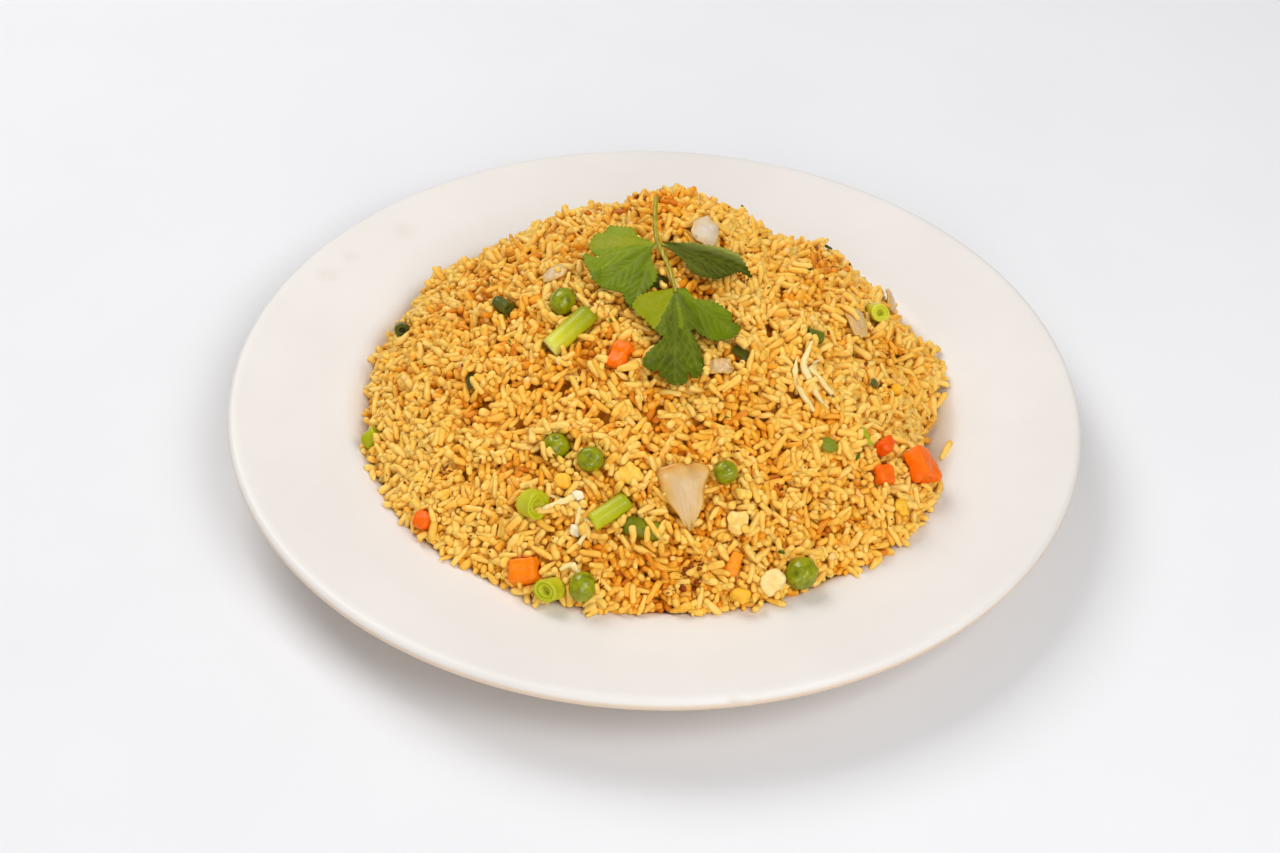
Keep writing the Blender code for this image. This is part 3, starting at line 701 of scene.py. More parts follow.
leaves = []
for number, (name, base, outline, veins) in enumerate(LEAFLETS):
    edge = toothed(outline, base)
    ring = np.array([tuple(point) for point in edge])
    low, high = ring.min(0), ring.max(0)
    inner_points = []
    for row, y in enumerate(np.arange(low[1], high[1], LEAF_GRID)):
        for x in np.arange(low[0] + (row % 2) * LEAF_GRID / 2, high[0], LEAF_GRID):
            inner_points.append((x, y))
    inner_points = np.array(inner_points)
    nearest = np.full(len(inner_points), 99.0)
    crossings = np.zeros(len(inner_points), int)
    for start, end in zip(ring, np.roll(ring, -1, 0)):
        nearest = np.minimum(nearest, to_line(inner_points, start, end)[0])
        between = (start[1] > inner_points[:, 1]) != (end[1] > inner_points[:, 1])
        run_y = end[1] - start[1] if abs(end[1] - start[1]) > 1e-9 else 1e-9
        cross_x = start[0] + (inner_points[:, 1] - start[1]) * (end[0] - start[0]) / run_y
        crossings += between & (inner_points[:, 0] < cross_x)
    kept = inner_points[(crossings % 2 == 1) & (nearest > LEAF_GRID * 0.4)]
    plan = [Vector(point) for point in (*ring, *kept)]
    rim = [(i, (i + 1) % len(ring)) for i in range(len(ring))]
    found = delaunay_2d_cdt(plan, rim, [], 1, 1e-5)
    flat_points = np.array([tuple(point) for point in found[0]])
    # The leaflet follows the smooth sheet through its CAD solid.
    solid = vertices_of(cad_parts[name]) / MM
    fitted = np.linalg.lstsq(bowl_terms(solid), solid[:, 2], rcond=None)[0]
    height = bowl_terms(flat_points) @ fitted
    # Each point takes the tone of the lobe round it, which partly paints the light and shade on that lobe.
    tone = np.zeros(len(flat_points))
    vein, closest = np.full((2, len(flat_points)), 99.0)
    for tip, light in veins:
        away, share_along = to_line(flat_points, base, tip)
        tone = np.where(away < closest, light, tone)
        closest = np.minimum(closest, away)
        vein = np.minimum(vein, away * (0.8 + 0.5 * share_along))
        run = Vector(tip) - Vector(base)
        for part in (0.35, 0.5, 0.64, 0.77, 0.88):
            for turned in (-34, 34):
                twig = run * (1 - part) * 0.75
                twig.rotate(Matrix.Rotation(math.radians(turned), 2))
                start = Vector(base) + run * part
                vein = np.minimum(vein, to_line(flat_points, start, start + twig)[0] * 1.8)
    groove = np.exp(-((vein / 0.5) ** 2))
    height += 0.45 * (1 - np.exp(-vein / 1.2)) - 0.1 * groove
    height += 0.5 * rough(np.column_stack([flat_points, height]), 6, number * 13)
    if name == "coriander_leaf_right":
        # Its far edge is rolled up and shows the pale underside.
        rolled = np.clip((flat_points[:, 1] - 8.2 + 0.25 * np.maximum(flat_points[:, 0] - 18, 0)) / 3, 0, 1)
        rolled *= np.clip((flat_points[:, 0] - 5) / 4, 0, 1)
        height += 2.0 * rolled**1.5
        flat_points[:, 1] -= 1.6 * rolled**2
    else:
        rolled = np.zeros(len(flat_points))
    mesh = bpy.data.meshes.new(name + "_sheet")
    mesh.from_pydata(np.column_stack([flat_points, height]), [], [tuple(face) for face in found[2]])
    leaf = bpy.data.objects.new(name + "_sheet", mesh)
    bpy.context.scene.collection.objects.link(leaf)
    reshape(leaf, vertices_of(leaf), np.stack([np.maximum(0.5 * groove, rolled * 2), tone], 1))
    give_wall(leaf, LEAF_THICKNESS, 0)
    leaves.append(leaf)
# Thin fresh leaf: waxy green above with pale veins, and light comes through where it is lit from behind. The
# lobes' tones, dark to light, are partly painted shade and light.
leaf_greens = [(0, "404600"), (0.4, "667800"), (0.7, "7C8C04"), (1, "949200")]
leaf_skin, tree, shader, mark, green = clouded_finish(
    "fresh_coriander_leaf", "Y", leaf_greens, 5, 4, 0.22, Roughness=0.45, Specular_IOR_Level=0.12,
    Subsurface_Weight=0.3, Subsurface_Scale=0.8 * MM, Subsurface_Radius=(0.6, 1.0, 0.15),
)
veined = add(tree, "MapRange", {"Value": mark.outputs["X"], "To Max": 0.5, "From Max": 2})
pale = add(tree, "Mix", {"Factor": veined.outputs["Result"], "A": green,
                         "B": hex_colour("BCC058")}, data_type="RGBA")
tree.links.new(pale.outputs["Result"], shader.inputs["Base Color"])
fine_relief(tree, shader, 0.9, 3, 0.2, 0.15)
leaf_nodes = [leaf[0] for leaf in LEAFLETS]
leaflets = settle(join(leaves), "coriander_leaflets", leaf_skin, leaf_nodes)


def strand(points, radii, sides=2):
    """A soft thread through points, as thick at each as given."""
    deselect()
    bpy.ops.curve.primitive_nurbs_path_add()
    line = bpy.context.object
    line.data.splines.clear()
    spline = line.data.splines.new("NURBS")
    spline.points.add(len(points) - 1)
    for knot, point, radius in zip(spline.points, points, radii):
        knot.co = (*(Vector(point) * MM), 1)
        knot.radius = radius
    spline.use_endpoint_u = True
    spline.order_u = 3
    spline.resolution_u = 4
    line.data.bevel_depth = MM
    line.data.bevel_resolution = sides
    line.data.use_fill_caps = True
    bpy.ops.object.convert(target="MESH")
    return bpy.context.object


STEM_ROUTE = ((-1.7, 27), (-2, 21), (-1.7, 15), (-0.7, 9.6), (1.8, 2.5), (4, -5), (5.2, -11.8))
# The leaflets' own stalks, from where the stem parts: x, y, how far below it, thickness.
STALKLETS = (
    ((-1.2, 8.4, 0.2, 0.6), (-2.4, 7.2, 0.8, 0.55), (-5, 6.4, 1.2, 0.3)),
    ((0.6, 9.8, 0.4, 0.55), (3, 9, 1, 0.5), (8, 7, 1.8, 0.3)),
)
stem_spots = vertices_of(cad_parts["coriander_stem"]) / MM
route = []
for x, y in STEM_ROUTE:
    near = stem_spots[np.argsort(np.hypot(stem_spots[:, 0] - x, stem_spots[:, 1] - y))[:12]]
    route.append((x, y, near[:, 2].mean()))
stalklets = [strand(route, (0.72, 0.78, 0.8, 0.95, 0.8, 0.75, 0.45), 4)]
joint = route[3]
for knots in STALKLETS:
    points = [joint] + [(x, y, joint[2] - lower) for x, y, lower, _ in knots]
    stalklets.append(strand(points, [0.7] + [thickness for *_, thickness in knots], 3))
for stem in stalklets:
    spots = vertices_of(stem) / MM
    reshape(stem, spots, np.stack([np.clip((spots[:, 1] + 12) / 40, 0, 1), spots[:, 0]], 1))
stem_skin, tree, shader = new_finish(
    "fresh_coriander_stem", Roughness=0.4, Specular_IOR_Level=0.25, Subsurface_Weight=0.3,
    Subsurface_Scale=1 * MM, Subsurface_Radius=(0.7, 1.0, 0.2),
)
here = add(tree, "TexCoord").outputs["Object"]
groove = add(tree, "Mapping", {"Vector": here, "Scale": (per(0.5), per(9), per(1))})
stripe = add(tree, "TexNoise", {"Vector": groove.outputs["Vector"], "Scale": 1.0, "Detail": 2})
stem_greens = [(0.35, "8A8010"), (0.6, "B4A02C"), (0.75, "D8C060")]
green = add(tree, "ValToRGB", {"Fac": stripe.outputs["Fac"]}, stem_greens)
tree.links.new(green.outputs["Color"], shader.inputs["Base Color"])
stems = settle(join(stalklets), "coriander_stems", stem_skin, ["coriander_stem"])


# ---- The rice --------------------------------------------------------------------------------
# Long-grain rice, boiled and then fried with egg and soy: loose, plump grains in every direction, the
# whole ones 5 to 9 mm long. About three layers of them lie round a smaller core, which shows in gaps.

STEP = 1.5  # spacing of the height map
SPAN = 106  # half its width
ABOVE = 200  # a height over everything
DOWN, UP = Vector((0, 0, -1)), Vector((0, 0, 1))
CRUST = 5.6  # depth of the loose grains over the core
GRAIN_R = 0.88  # half the thickness that a grain keeps from its neighbours
GRAIN_WIDTH = 2.55 * GRAIN_R  # a little over twice that, since they press into each other
GRAIN_COUNT = 10700
CLUMPS = ((9, 15), (4.5, 7))  # size and height of the clumps that the grains hang together in
CLUMP_TOP = 0.26  # where a clump is cut off, as a share of its height, so that it is rounded
CLUMP_MEAN = 0.16  # the mean of that share, which is taken off again
# CREASE is used only for the painted shade in the creases.
CREASE = 0.07  # how wide the creases between clumps are
CLIMB = 2.2  # how far the rice rises against what lies in it
FOOT_RICE = 1.5  # how much closer the grains lie at the foot, where they have slid down
LOWER_TOP = 2.2  # how far the grains sit below the heap's outline at its top
TOP_Z = 50  # how high over the plate that counts in full
EDGE_RICE = 1.6  # how far over the plate grains may lie past the foot of the heap


def faces_of(obj):
    """An object's faces in order, each from its lowest vertex on, since Blender's own order varies."""
    rings = [list(face.vertices) for face in obj.data.polygons]
    starts = [ring.index(min(ring)) for ring in rings]
    return sorted(ring[start:] + ring[:start] for ring, start in zip(rings, starts))


def surface_of(objects):
    """A tree of the surfaces of some objects, for casting rays."""
    points, faces = [], []
    for obj in objects:
        base = len(points)
        points += [vertex.co / MM for vertex in obj.data.vertices]
        faces += [[base + i for i in face] for face in faces_of(obj)]
    return BVHTree.FromPolygons(points, faces)


def met_from_above(tree, x, y):
    """Where a ray straight down over x, y meets a surface, or None."""
    return tree.ray_cast(Vector((x, y, ABOVE)), DOWN)[0]


pressed_in = [peas, stalks, leaf_strips, carrots, petals, curds]
toppings = [*pressed_in, leaflets, stems]
ticks = np.arange(-SPAN, SPAN + STEP, STEP)
heap_surface, topping_surface = surface_of([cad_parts["rice_heap"]]), surface_of(pressed_in)
heap = np.full((len(ticks), len(ticks)), np.nan)
covered = np.zeros(heap.shape, bool)
crease_shade = np.zeros(heap.shape)
for i, x in enumerate(ticks):
    for j, y in enumerate(ticks):
        met = met_from_above(heap_surface, x, y)
        heap[i, j] = met.z if met else np.nan
        covered[i, j] = met_from_above(topping_surface, x, y) is not None
on_heap = ~np.isnan(heap)


def beside(grid, way):
    """The grid moved by one cell."""
    return np.roll(grid, way, (0, 1))


around = [(1, 0), (-1, 0), (0, 1), (0, -1)]
# The pockets under the toppings are filled again from the rice round them.
pocket = covered
for _ in range(3):
    pocket = pocket | np.any([beside(pocket, way) for way in around], 0)
radii = np.hypot(ticks[:, None], ticks[None, :])
bare = plate_top(radii)
heap = np.where(on_heap, heap, bare + EDGE_RICE)
for _ in range(300):
    heap = np.where(pocket & on_heap, np.mean([beside(heap, way) for way in around], 0), heap)
slope_x, slope_y = np.gradient(heap, STEP)
smooth_heap = heap.copy()
for i, x in enumerate(ticks):
    for j, y in enumerate(ticks):
        if on_heap[i, j]:
            # Rounded clumps with sharp creases between them.
            folds = [abs(noise.noise(Vector((x, y, heap[i, j])) / size)) for size, _ in CLUMPS]
            lumps = [min(fold, CLUMP_TOP) * rise for fold, (_, rise) in zip(folds, CLUMPS)]
            # The creases are also kept as painted shade for the grains that lie in them.
            crease_shade[i, j] = math.exp(-folds[0] / CREASE) + 0.5 * math.exp(-folds[1] / CREASE)
            taken = sum(rise for _, rise in CLUMPS) * CLUMP_MEAN
            heap[i, j] += sum(lumps) - taken + CLIMB * pocket[i, j]
            up = min((smooth_heap[i, j] - bare[i, j]) / TOP_Z, 1)
            heap[i, j] -= LOWER_TOP * up * (not pocket[i, j])
heap = np.maximum(heap, bare + EDGE_RICE)
steepness = np.sqrt(1 + np.clip(slope_x**2 + slope_y**2, 0, 2.2))
core = np.maximum(smooth_heap - CRUST * steepness - 2 * covered, bare)
# The core ends short of the foot, which is made of loose grains.
foot = ~on_heap
for _ in range(4):
    foot = foot | np.any([beside(foot, way) for way in around], 0)
core = np.where(foot, bare, core)


def at(grid, points):
    """The grid's value at points, from the four cells round each."""
    place = np.clip((points[:, :2] + SPAN) / STEP, 0, len(ticks) - 1.001)
    low = place.astype(int)
    part = place - low
    i, j = low.T
    u, v = part.T
    near = grid[i, j] * (1 - v) + grid[i, j + 1] * v
    far = grid[i + 1, j] * (1 - v) + grid[i + 1, j + 1] * v
    return near * (1 - u) + far * u


# Grains are dropped at random through the crust, turned every way.
room = np.where(on_heap, np.maximum(heap - core, 0.5) * np.where(foot, FOOT_RICE, 1), 0).ravel()
cells = chance.choice(room.size, GRAIN_COUNT, p=room / room.sum())
middle = np.stack([ticks[cells // len(ticks)], ticks[cells % len(ticks)], np.zeros(GRAIN_COUNT)], 1)
middle[:, :2] += chance.uniform(-STEP / 2, STEP / 2, (GRAIN_COUNT, 2))
# Single grains that rolled off the heap.
STRAYS = (
    (86, -38), (88, -40), (90, -41), (85, -46), (84, -49), (80, -57), (82, -54), (-81, -55),
    (-79, -57), (-75, -66), (-88, -42), (-70, -71), (74, -66), (63, -76), (92, -20), (-92, -18),
)
middle[: len(STRAYS), :2] = STRAYS
deep = chance.uniform(0, 1, GRAIN_COUNT)
middle[:, 2] = at(core, middle) + 1 + (at(heap, middle) - at(core, middle) - 1) * deep
# Grains that stick together lie alike, so part of each heading comes from its place.
stuck = np.stack([rough(middle, 6, seed) for seed in (0, 40, 80)], 1)
along = unit(unit(chance.normal(0, 1, (GRAIN_COUNT, 3))) + 1.1 * stuck)
length = np.clip(chance.normal(6.8, 0.9, GRAIN_COUNT), 4.8, 9)
broken = chance.uniform(0, 1, GRAIN_COUNT) < 0.25
length[broken] = chance.uniform(3, 5, broken.sum())
girth = np.clip(chance.normal(1, 0.1, GRAIN_COUNT), 0.78, 1.22)

# Each grain is a stick of four balls. Those that overlap are pushed apart, and all sink a little,
# until the heap has settled on the core, the plate and the toppings.
KNOBS = 4
CLUMP_COUNT = 620
DRAW = 0.06  # how far the grains of a clump are drawn together
SETTLING = 70  # steps
SINK = 0.08  # how far all grains sink in the first of them
STEEPEST = 1.6  # how much more room a grain gets on a slope, at most
BALL_AREA = 1.3  # square millimetres of a topping for each fixed ball that stands for it
BALL_DEPTH = 0.7  # how far inside the topping it lies
CELLS = 4096  # more than lie along any side of the heap
fixed = []
for piece in toppings:
    triangles = [(ring[0], *ring[i : i + 2]) for ring in faces_of(piece) for i in range(1, len(ring) - 1)]
    corners = vertices_of(piece)[triangles] / MM
    normals = np.cross(corners[:, 1] - corners[:, 0], corners[:, 2] - corners[:, 0])
    areas = np.linalg.norm(normals, axis=1) / 2
    chosen = chance.choice(len(areas), int(areas.sum() / BALL_AREA), p=areas / areas.sum())
    mix = chance.dirichlet((1, 1, 1), len(chosen))
    spread = np.einsum("ij,ijk->ik", mix, corners[chosen])
    fixed.append(spread - normals[chosen] / (2 * areas[chosen, None]) * BALL_DEPTH)
fixed = np.concatenate(fixed)
knob_share = np.linspace(0, 1, KNOBS)
pull = np.stack([1 - knob_share, knob_share]) / ((1 - knob_share) ** 2 + knob_share**2)
owner = np.concatenate([np.repeat(np.arange(GRAIN_COUNT), KNOBS), np.full(len(fixed), -1)])
reach = (length / 2 - GRAIN_R)[:, None]
ends = np.stack([middle - along * reach, middle + along * reach])
loft = np.minimum(chance.exponential(0.7, GRAIN_COUNT), 2.6)


def knobs_of(ends):
    """The balls of every grain, one after the other."""
    share = knob_share[:, None]
    return (ends[0][:, None] * (1 - share) + ends[1][:, None] * share).reshape(-1, 3)


def near_pairs(points, reach):
    """Pairs of points that may lie within reach, found by sorting them into cells of that size."""
    cell = np.floor((points + 2 * SPAN) / reach).astype(np.int64)
    key = (cell[:, 0] * CELLS + cell[:, 1]) * CELLS + cell[:, 2]
    order = np.argsort(key, kind="stable")
    ranked = key[order]
    crowd = np.unique(key, return_counts=True)[1].max()
    found = []
    steps = [(i * CELLS + j) * CELLS + k for i in (-1, 0, 1) for j in (-1, 0, 1) for k in (-1, 0, 1)]
    for step in [s for s in steps if s >= 0]:
        first = np.searchsorted(ranked, key + step)
        for offset in range(crowd):
            spot = np.minimum(first + offset, len(key) - 1)
            other = order[spot]
            right = (ranked[spot] == key + step) & (first + offset < len(key))
            right &= (other > np.arange(len(key))) if step == 0 else True
            here_too = np.nonzero(right)[0]
            if not len(here_too):
                break
            found.append(np.stack([here_too, other[here_too]]))
    return np.concatenate(found, 1)


for tick in range(SETTLING):
    points = np.concatenate([knobs_of(ends), fixed])
    if tick % 3 == 0:
        one, two = near_pairs(points, 2 * GRAIN_R + 0.5)
        apart = owner[one] != owner[two]
        one, two = one[apart], two[apart]
    gap = points[two] - points[one]
    distance = np.maximum(np.linalg.norm(gap, axis=1), 0.01)
    touch = distance < 2 * GRAIN_R
    first, second = one[touch], two[touch]
    push = gap[touch] / distance[touch, None] * (2 * GRAIN_R - distance[touch, None])
    push *= np.where((owner[first] < 0) | (owner[second] < 0), 1, 0.5)[:, None]
    moved = np.zeros_like(points)
    for axis in range(3):
        moved[:, axis] -= np.bincount(first, push[:, axis], len(points))
        moved[:, axis] += np.bincount(second, push[:, axis], len(points))
    crowd = np.bincount(first, minlength=len(points)) + np.bincount(second, minlength=len(points))
    moved /= np.maximum(crowd, 1)[:, None] ** 0.5
    knobs = points[: GRAIN_COUNT * KNOBS]
    moved = moved[: len(knobs)]
    knob_out = np.stack([-at(slope_x, knobs), -at(slope_y, knobs), np.ones(len(knobs))], 1)
    steep = np.linalg.norm(knob_out, axis=1)
    knob_out /= steep[:, None]
    sink = SINK * (1 - tick / SETTLING)
    moved -= knob_out * sink
    under = at(core, knobs) + GRAIN_R * np.minimum(steep, STEEPEST) - knobs[:, 2]
    # A grain that stands too high comes down as a whole, so that it isn't laid flat.
    over = (knobs[:, 2] - at(heap, knobs) + GRAIN_R * steep * 0.7).reshape(-1, KNOBS).mean(1) - loft
    moved[:, 2] += np.maximum(under, 0) * 0.7
    moved -= knob_out * (np.maximum(np.repeat(over, KNOBS), 0) / steep * 0.3)[:, None]
    moved = moved.reshape(GRAIN_COUNT, KNOBS, 3)
    for end in (0, 1):
        ends[end] += (moved * pull[end][:, None]).mean(1)
    middle = ends.mean(0)
    along = unit(ends[1] - ends[0])
    ends = np.stack([middle - along * reach, middle + along * reach])

# Sticky with oil and egg, the grains hang together in clumps: each is drawn towards the middle of its
# own, which leaves creases between the clumps.
centres = middle[chance.choice(GRAIN_COUNT, CLUMP_COUNT, replace=False)]
nearest = np.full(GRAIN_COUNT, 99.0)
towards = np.zeros((GRAIN_COUNT, 3))
for centre in centres:
    away = np.linalg.norm(middle - centre, axis=1)
    closer = away < nearest
    nearest[closer] = away[closer]
    towards[closer] = centre - middle[closer]
loose_here = 1 - at(pocket.astype(float), middle)
middle += towards * (DRAW * loose_here * np.clip(1.4 - nearest / 9, 0, 1))[:, None]
drawn = np.clip(nearest / 6, 0, 1.3) * loose_here
middle[:, 2] += 0.7 * (0.6 - drawn) * loose_here
ends = np.stack([middle - along * reach, middle + along * reach])

# Grains that ended inside a topping, or lie wholly on one, are left out.
THICKEST = 12  # no topping is thicker
every_topping = surface_of(toppings)


def lies_in_or_on(knob):
    """Whether a knob is inside a topping, and whether it is over one."""
    spot = Vector(knob)
    over = every_topping.ray_cast(spot, DOWN, THICKEST)
    under = every_topping.ray_cast(spot, UP, THICKEST)
    return (under[1] is not None and under[1].z > 0.1), (over[1] is not None and over[1].z > 0.1)


found = np.array([lies_in_or_on(knob) for knob in knobs_of(ends)]).reshape(GRAIN_COUNT, KNOBS, 2)
under_leaf = surface_of([leaflets, stems])
on_leaf = [under_leaf.ray_cast(Vector(knob), DOWN, THICKEST)[0] is not None for knob in knobs_of(ends)]
on_leaf = np.array(on_leaf).reshape(-1, KNOBS).any(1)
clear = np.nonzero(~found[:, 1:3, 0].any(1) & ~found[:, :, 1].all(1) & ~on_leaf)[0]

# Ten grains are modelled, slim or plump, slightly bent and blunt at the ends.
GRAIN_KINDS = (  # bend in degrees, swelling towards one end, flatness
    (10, 0.06, 0.92), (22, 0.1, 0.86), (-16, 0.14, 0.9), (5, 0.18, 0.82), (32, 0.04, 0.95),
    (-26, 0.1, 0.88), (0, 0.1, 0.78), (14, 0.22, 0.9), (-36, 0.05, 0.85), (3, 0.02, 0.95),
)
grain_forms = []
for bend, swell, flatness in GRAIN_KINDS:
    deselect()
    bpy.ops.mesh.primitive_uv_sphere_add(segments=6, ring_count=6, radius=0.5)
    form = bpy.context.object
    # The rings near the ends are widened, so that the grain is blunt and not a spindle.
    for ring, wider in ((0.433, 1.6), (0.25, 1.12)):
        for side in (-1, 1):
            pick(form, [abs(vertex.co.z - side * ring) < 0.03 for vertex in form.data.vertices])
            fuller = wider * (1 + side * swell)
            bpy.ops.transform.resize(value=(fuller, fuller * flatness, 1))
    bpy.ops.object.mode_set(mode="OBJECT")
    form.data.transform(Matrix.Diagonal((1, 1, 4, 1)))
    curl = form.modifiers.new("Curl", "SIMPLE_DEFORM")
    curl.deform_method = "BEND"
    curl.deform_axis = "X"
    curl.angle = math.radians(bend)
    bpy.ops.object.modifier_apply(modifier="Curl")
    shape = vertices_of(form)
    shape[:, 2] /= np.ptp(shape[:, 2])
    shape[:, :2] += chance.normal(0, 0.035, (len(shape), 2))
    grain_forms.append((shape, faces_of(form)))
    bpy.data.objects.remove(form)


def meshed(name, spots, faces, marks):
    """An object from points in millimetres and faces, with a mark of two shares at each face's corner."""
    mesh = bpy.data.meshes.new(name)
    mesh.from_pydata(spots * MM, [], faces)
    mesh.uv_layers.new(name="mark").data.foreach_set("uv", np.array(marks).ravel())
    obj = bpy.data.objects.new(name, mesh)
    bpy.context.scene.collection.objects.link(obj)
    return obj


def add_grains(name, which, finish):
    """Joins the chosen grains into one piece, each turned and stretched to its own place and size."""
    corners, faces, marks = [], [], []
    count = 0
    for grain in which:
        shape, form_faces = grain_forms[kind[grain]]
        axis = along[grain]
        side = unit(np.cross(axis, spin[grain]))
        rise = np.cross(axis, side)
        width = GRAIN_WIDTH * girth[grain]
        body = (shape[:, :1] * side + shape[:, 1:2] * rise) * width + shape[:, 2:] * axis * length[grain]
        corners.append(body + middle[grain])
        for face in form_faces:
            faces.append([count + i for i in face])
            marks += [(tint[grain], shape[i, 2] + 0.5) for i in face]
        count += len(shape)
    return settle(meshed(name, np.concatenate(corners), faces, marks), name, finish, ())


# Where the pan has coloured the rice more, or less: x, y, radius, how much.
STAINED = ((2, 38, 9, 0.5), (-60, 10, 14, 0.35), (8, -88, 10, 0.2), (58, 42, 8, 0.5), (-77, -40, 9, -0.5))
kind = chance.integers(0, len(grain_forms), GRAIN_COUNT)
spin = unit(chance.normal(0, 1, (GRAIN_COUNT, 3)))
tint = chance.uniform(0, 1, GRAIN_COUNT)
patchy = np.array([noise.noise(Vector(spot) / 22) for spot in middle])
# Grains deeper in the crust, far from the middle of their clump, and in the creases are darker: painted
# shade.
depth = np.clip((at(heap, middle) + loft - middle[:, 2]) / (CRUST * at(steepness, middle)), 0, 1)
shade = 0.3 * chance.uniform(0, 1, GRAIN_COUNT) + depth + 0.15 * patchy
shade += 0.3 * drawn + 0.25 * at(crease_shade, middle)
for x, y, radius, much in STAINED:
    shade += much * np.exp(-((middle[:, 0] - x) ** 2 + (middle[:, 1] - y) ** 2) / (2 * radius**2))
cuts = np.quantile(shade, (0.3, 0.6, 0.84, 0.97))
group = np.searchsorted(cuts, shade)


def rice_finish(name, pale, deep, stain):
    """Cooked rice, swollen and slightly translucent, its skin slick with oil and stained by soy."""
    made, tree, shader = new_finish(
        name, Roughness=0.35, Specular_IOR_Level=0.25, Subsurface_Weight=0.4, Subsurface_Scale=1 * MM,
        Subsurface_Radius=(1.0, 0.92, 0.8),
    )
    own = add(tree, "ValToRGB", {"Fac": mark_of(tree).outputs["X"]}, [(0, deep), (1, pale)])
    here = add(tree, "TexCoord").outputs["Object"]
    patch = add(tree, "TexNoise", {"Vector": here, "Scale": per(2.2), "Detail": 3})
    much = add(tree, "MapRange", {"Value": patch.outputs["Fac"], "From Min": 0.5, "From Max": 0.78})
    soy = add(tree, "Mix", {"Factor": much.outputs["Result"], "A": own.outputs["Color"],
                            "B": hex_colour(stain)}, data_type="RGBA")
    tree.links.new(soy.outputs["Result"], shader.inputs["Base Color"])
    fine_relief(tree, shader, 0.6, 2, 0.25, 0.15)
    return made


# The grains take these tints by their shade value, so the darker tints are partly painted shade and partly
# the rice's own colour.
RICE_TINTS = (  # name, pale, deep, stain
    ("rice_pale", "FCD272", "F8C654", "F6B434"),
    ("rice_golden", "F8C658", "F4B840", "EEA224"),
    ("rice_amber", "F6B63C", "F0A828", "E88E16"),
    ("rice_deep", "EEA020", "E48E14", "CE740C"),
    ("rice_browned_and_shaded", "E08614", "CC700C", "9A4804"),
)
for number, (name, pale, deep, stain) in enumerate(RICE_TINTS):
    finish = rice_finish("fried_" + name, pale, deep, stain)
    add_grains(name, clear[group[clear] == number], finish)

# The core: the same rice pressed together deeper in, with grain-sized relief, in the dark orange of oil and
# of painted shade.
deselect()
bpy.ops.mesh.primitive_grid_add(x_subdivisions=len(ticks) - 1, y_subdivisions=len(ticks) - 1, size=2 * SPAN)
inner = bpy.context.object
spots = vertices_of(inner)
grainy = np.array([noise.noise(Vector(spot) / 1.7) + noise.noise(Vector(spot) / 4) for spot in spots])
under_rice = plate_top(np.hypot(spots[:, 0], spots[:, 1])) - 0.6
spots[:, 2] = np.maximum(at(core, spots) - 1.4 + 1.1 * grainy, under_rice)
raised = core > bare + 1
inside = at(np.any([raised, *[beside(raised, way) for way in around]], 0).astype(float), spots) > 0
reshape(inner, spots)
pick(inner, ~inside)
bpy.ops.mesh.delete(type="VERT")
bpy.ops.object.mode_set(mode="OBJECT")
pressed, tree, shader = new_finish("pressed_rice_oil_and_painted_shade", Roughness=0.5, Specular_IOR_Level=0.2)
here = add(tree, "TexCoord").outputs["Object"]
oil_and_shade_clouds = add(tree, "TexNoise", {"Vector": here, "Scale": per(3), "Detail": 4})
# Its dark oranges paint the shade deep in the rice.
ramp = add(tree, "ValToRGB", {"Fac": oil_and_shade_clouds.outputs["Fac"]}, [(0.35, "C87410"), (0.65, "EC9E24")])
tree.links.new(ramp.outputs["Color"], shader.inputs["Base Color"])
settle(inner, "rice_core", pressed, ["rice_heap"])


# ---- Egg white ---------------------------------------------------------------------------------
# Threads of egg white that ran over the grains and set there, soft and uneven. They follow the top of
# the settled rice.

# The top of the settled grains, on cells of 1 mm, for what lies on them.
CELL = 1
knobs = knobs_of(ends)
crest = np.full((2 * SPAN, 2 * SPAN), -1.0)
for shift in ((0, 0), (0.7, 0), (-0.7, 0), (0, 0.7), (0, -0.7)):
    spot = np.floor((knobs[:, :2] + shift + SPAN) / CELL).astype(int)
    np.maximum.at(crest, (spot[:, 0], spot[:, 1]), knobs[:, 2] + GRAIN_R * 0.8)


def on_top(x, y, lift=0):
    """A point that rests on the grains, or on the plate where there are none."""
    i, j = (min(max(int((value + SPAN) / CELL), 1), len(crest) - 2) for value in (x, y))
    local = crest[i, j] if crest[i, j] > 0 else crest[i - 1 : i + 2, j - 1 : j + 2].max()
    return (x, y, max(local, float(plate_top(math.hypot(x, y)))) + lift)


THREAD_SWELL = (0.6, 1.1, 1.3, 1.1, 0.5)  # how thick a thread is at each of its points
# Threads of egg white: thickness, and the way over the rice.
THREADS = (
    (1.0, ((48.5, -20), (45, -26), (47, -31), (50.5, -34), (54, -37))),
    (0.7, ((51, -22), (47.5, -27), (49, -30), (55, -32))),
    (0.75, ((44, -24), (42.5, -29), (44, -35), (49, -39))),
    (0.85, ((-27, -92), (-24.5, -90.5), (-22, -92), (-20, -95))),
    (0.7, ((-31, -73), (-27, -72.5), (-23, -75), (-21.5, -79), (-23, -83))),
    (0.75, ((-33, -78), (-29, -76.5), (-25, -76), (-22, -73))),
    (0.6, ((-20, -80), (-19, -84), (-21.5, -87))),
)
threads = []
for number, (thickness, way) in enumerate(THREADS):
    points = [on_top(x, y, 0.2) for x, y in way]
    line = strand(points, [thickness * swell for swell in THREAD_SWELL[: len(way)]])
    spots = vertices_of(line) / MM
    spots += 0.5 * np.stack([rough(spots, 1.8, number + seed) for seed in (0, 9, 18)], 1)
    reshape(line, spots, np.stack([np.full(len(spots), 0.3), np.ones(len(spots))], 1))
    threads.append(line)
settle(join(threads), "egg_threads", egg, ["egg_thread_right"])


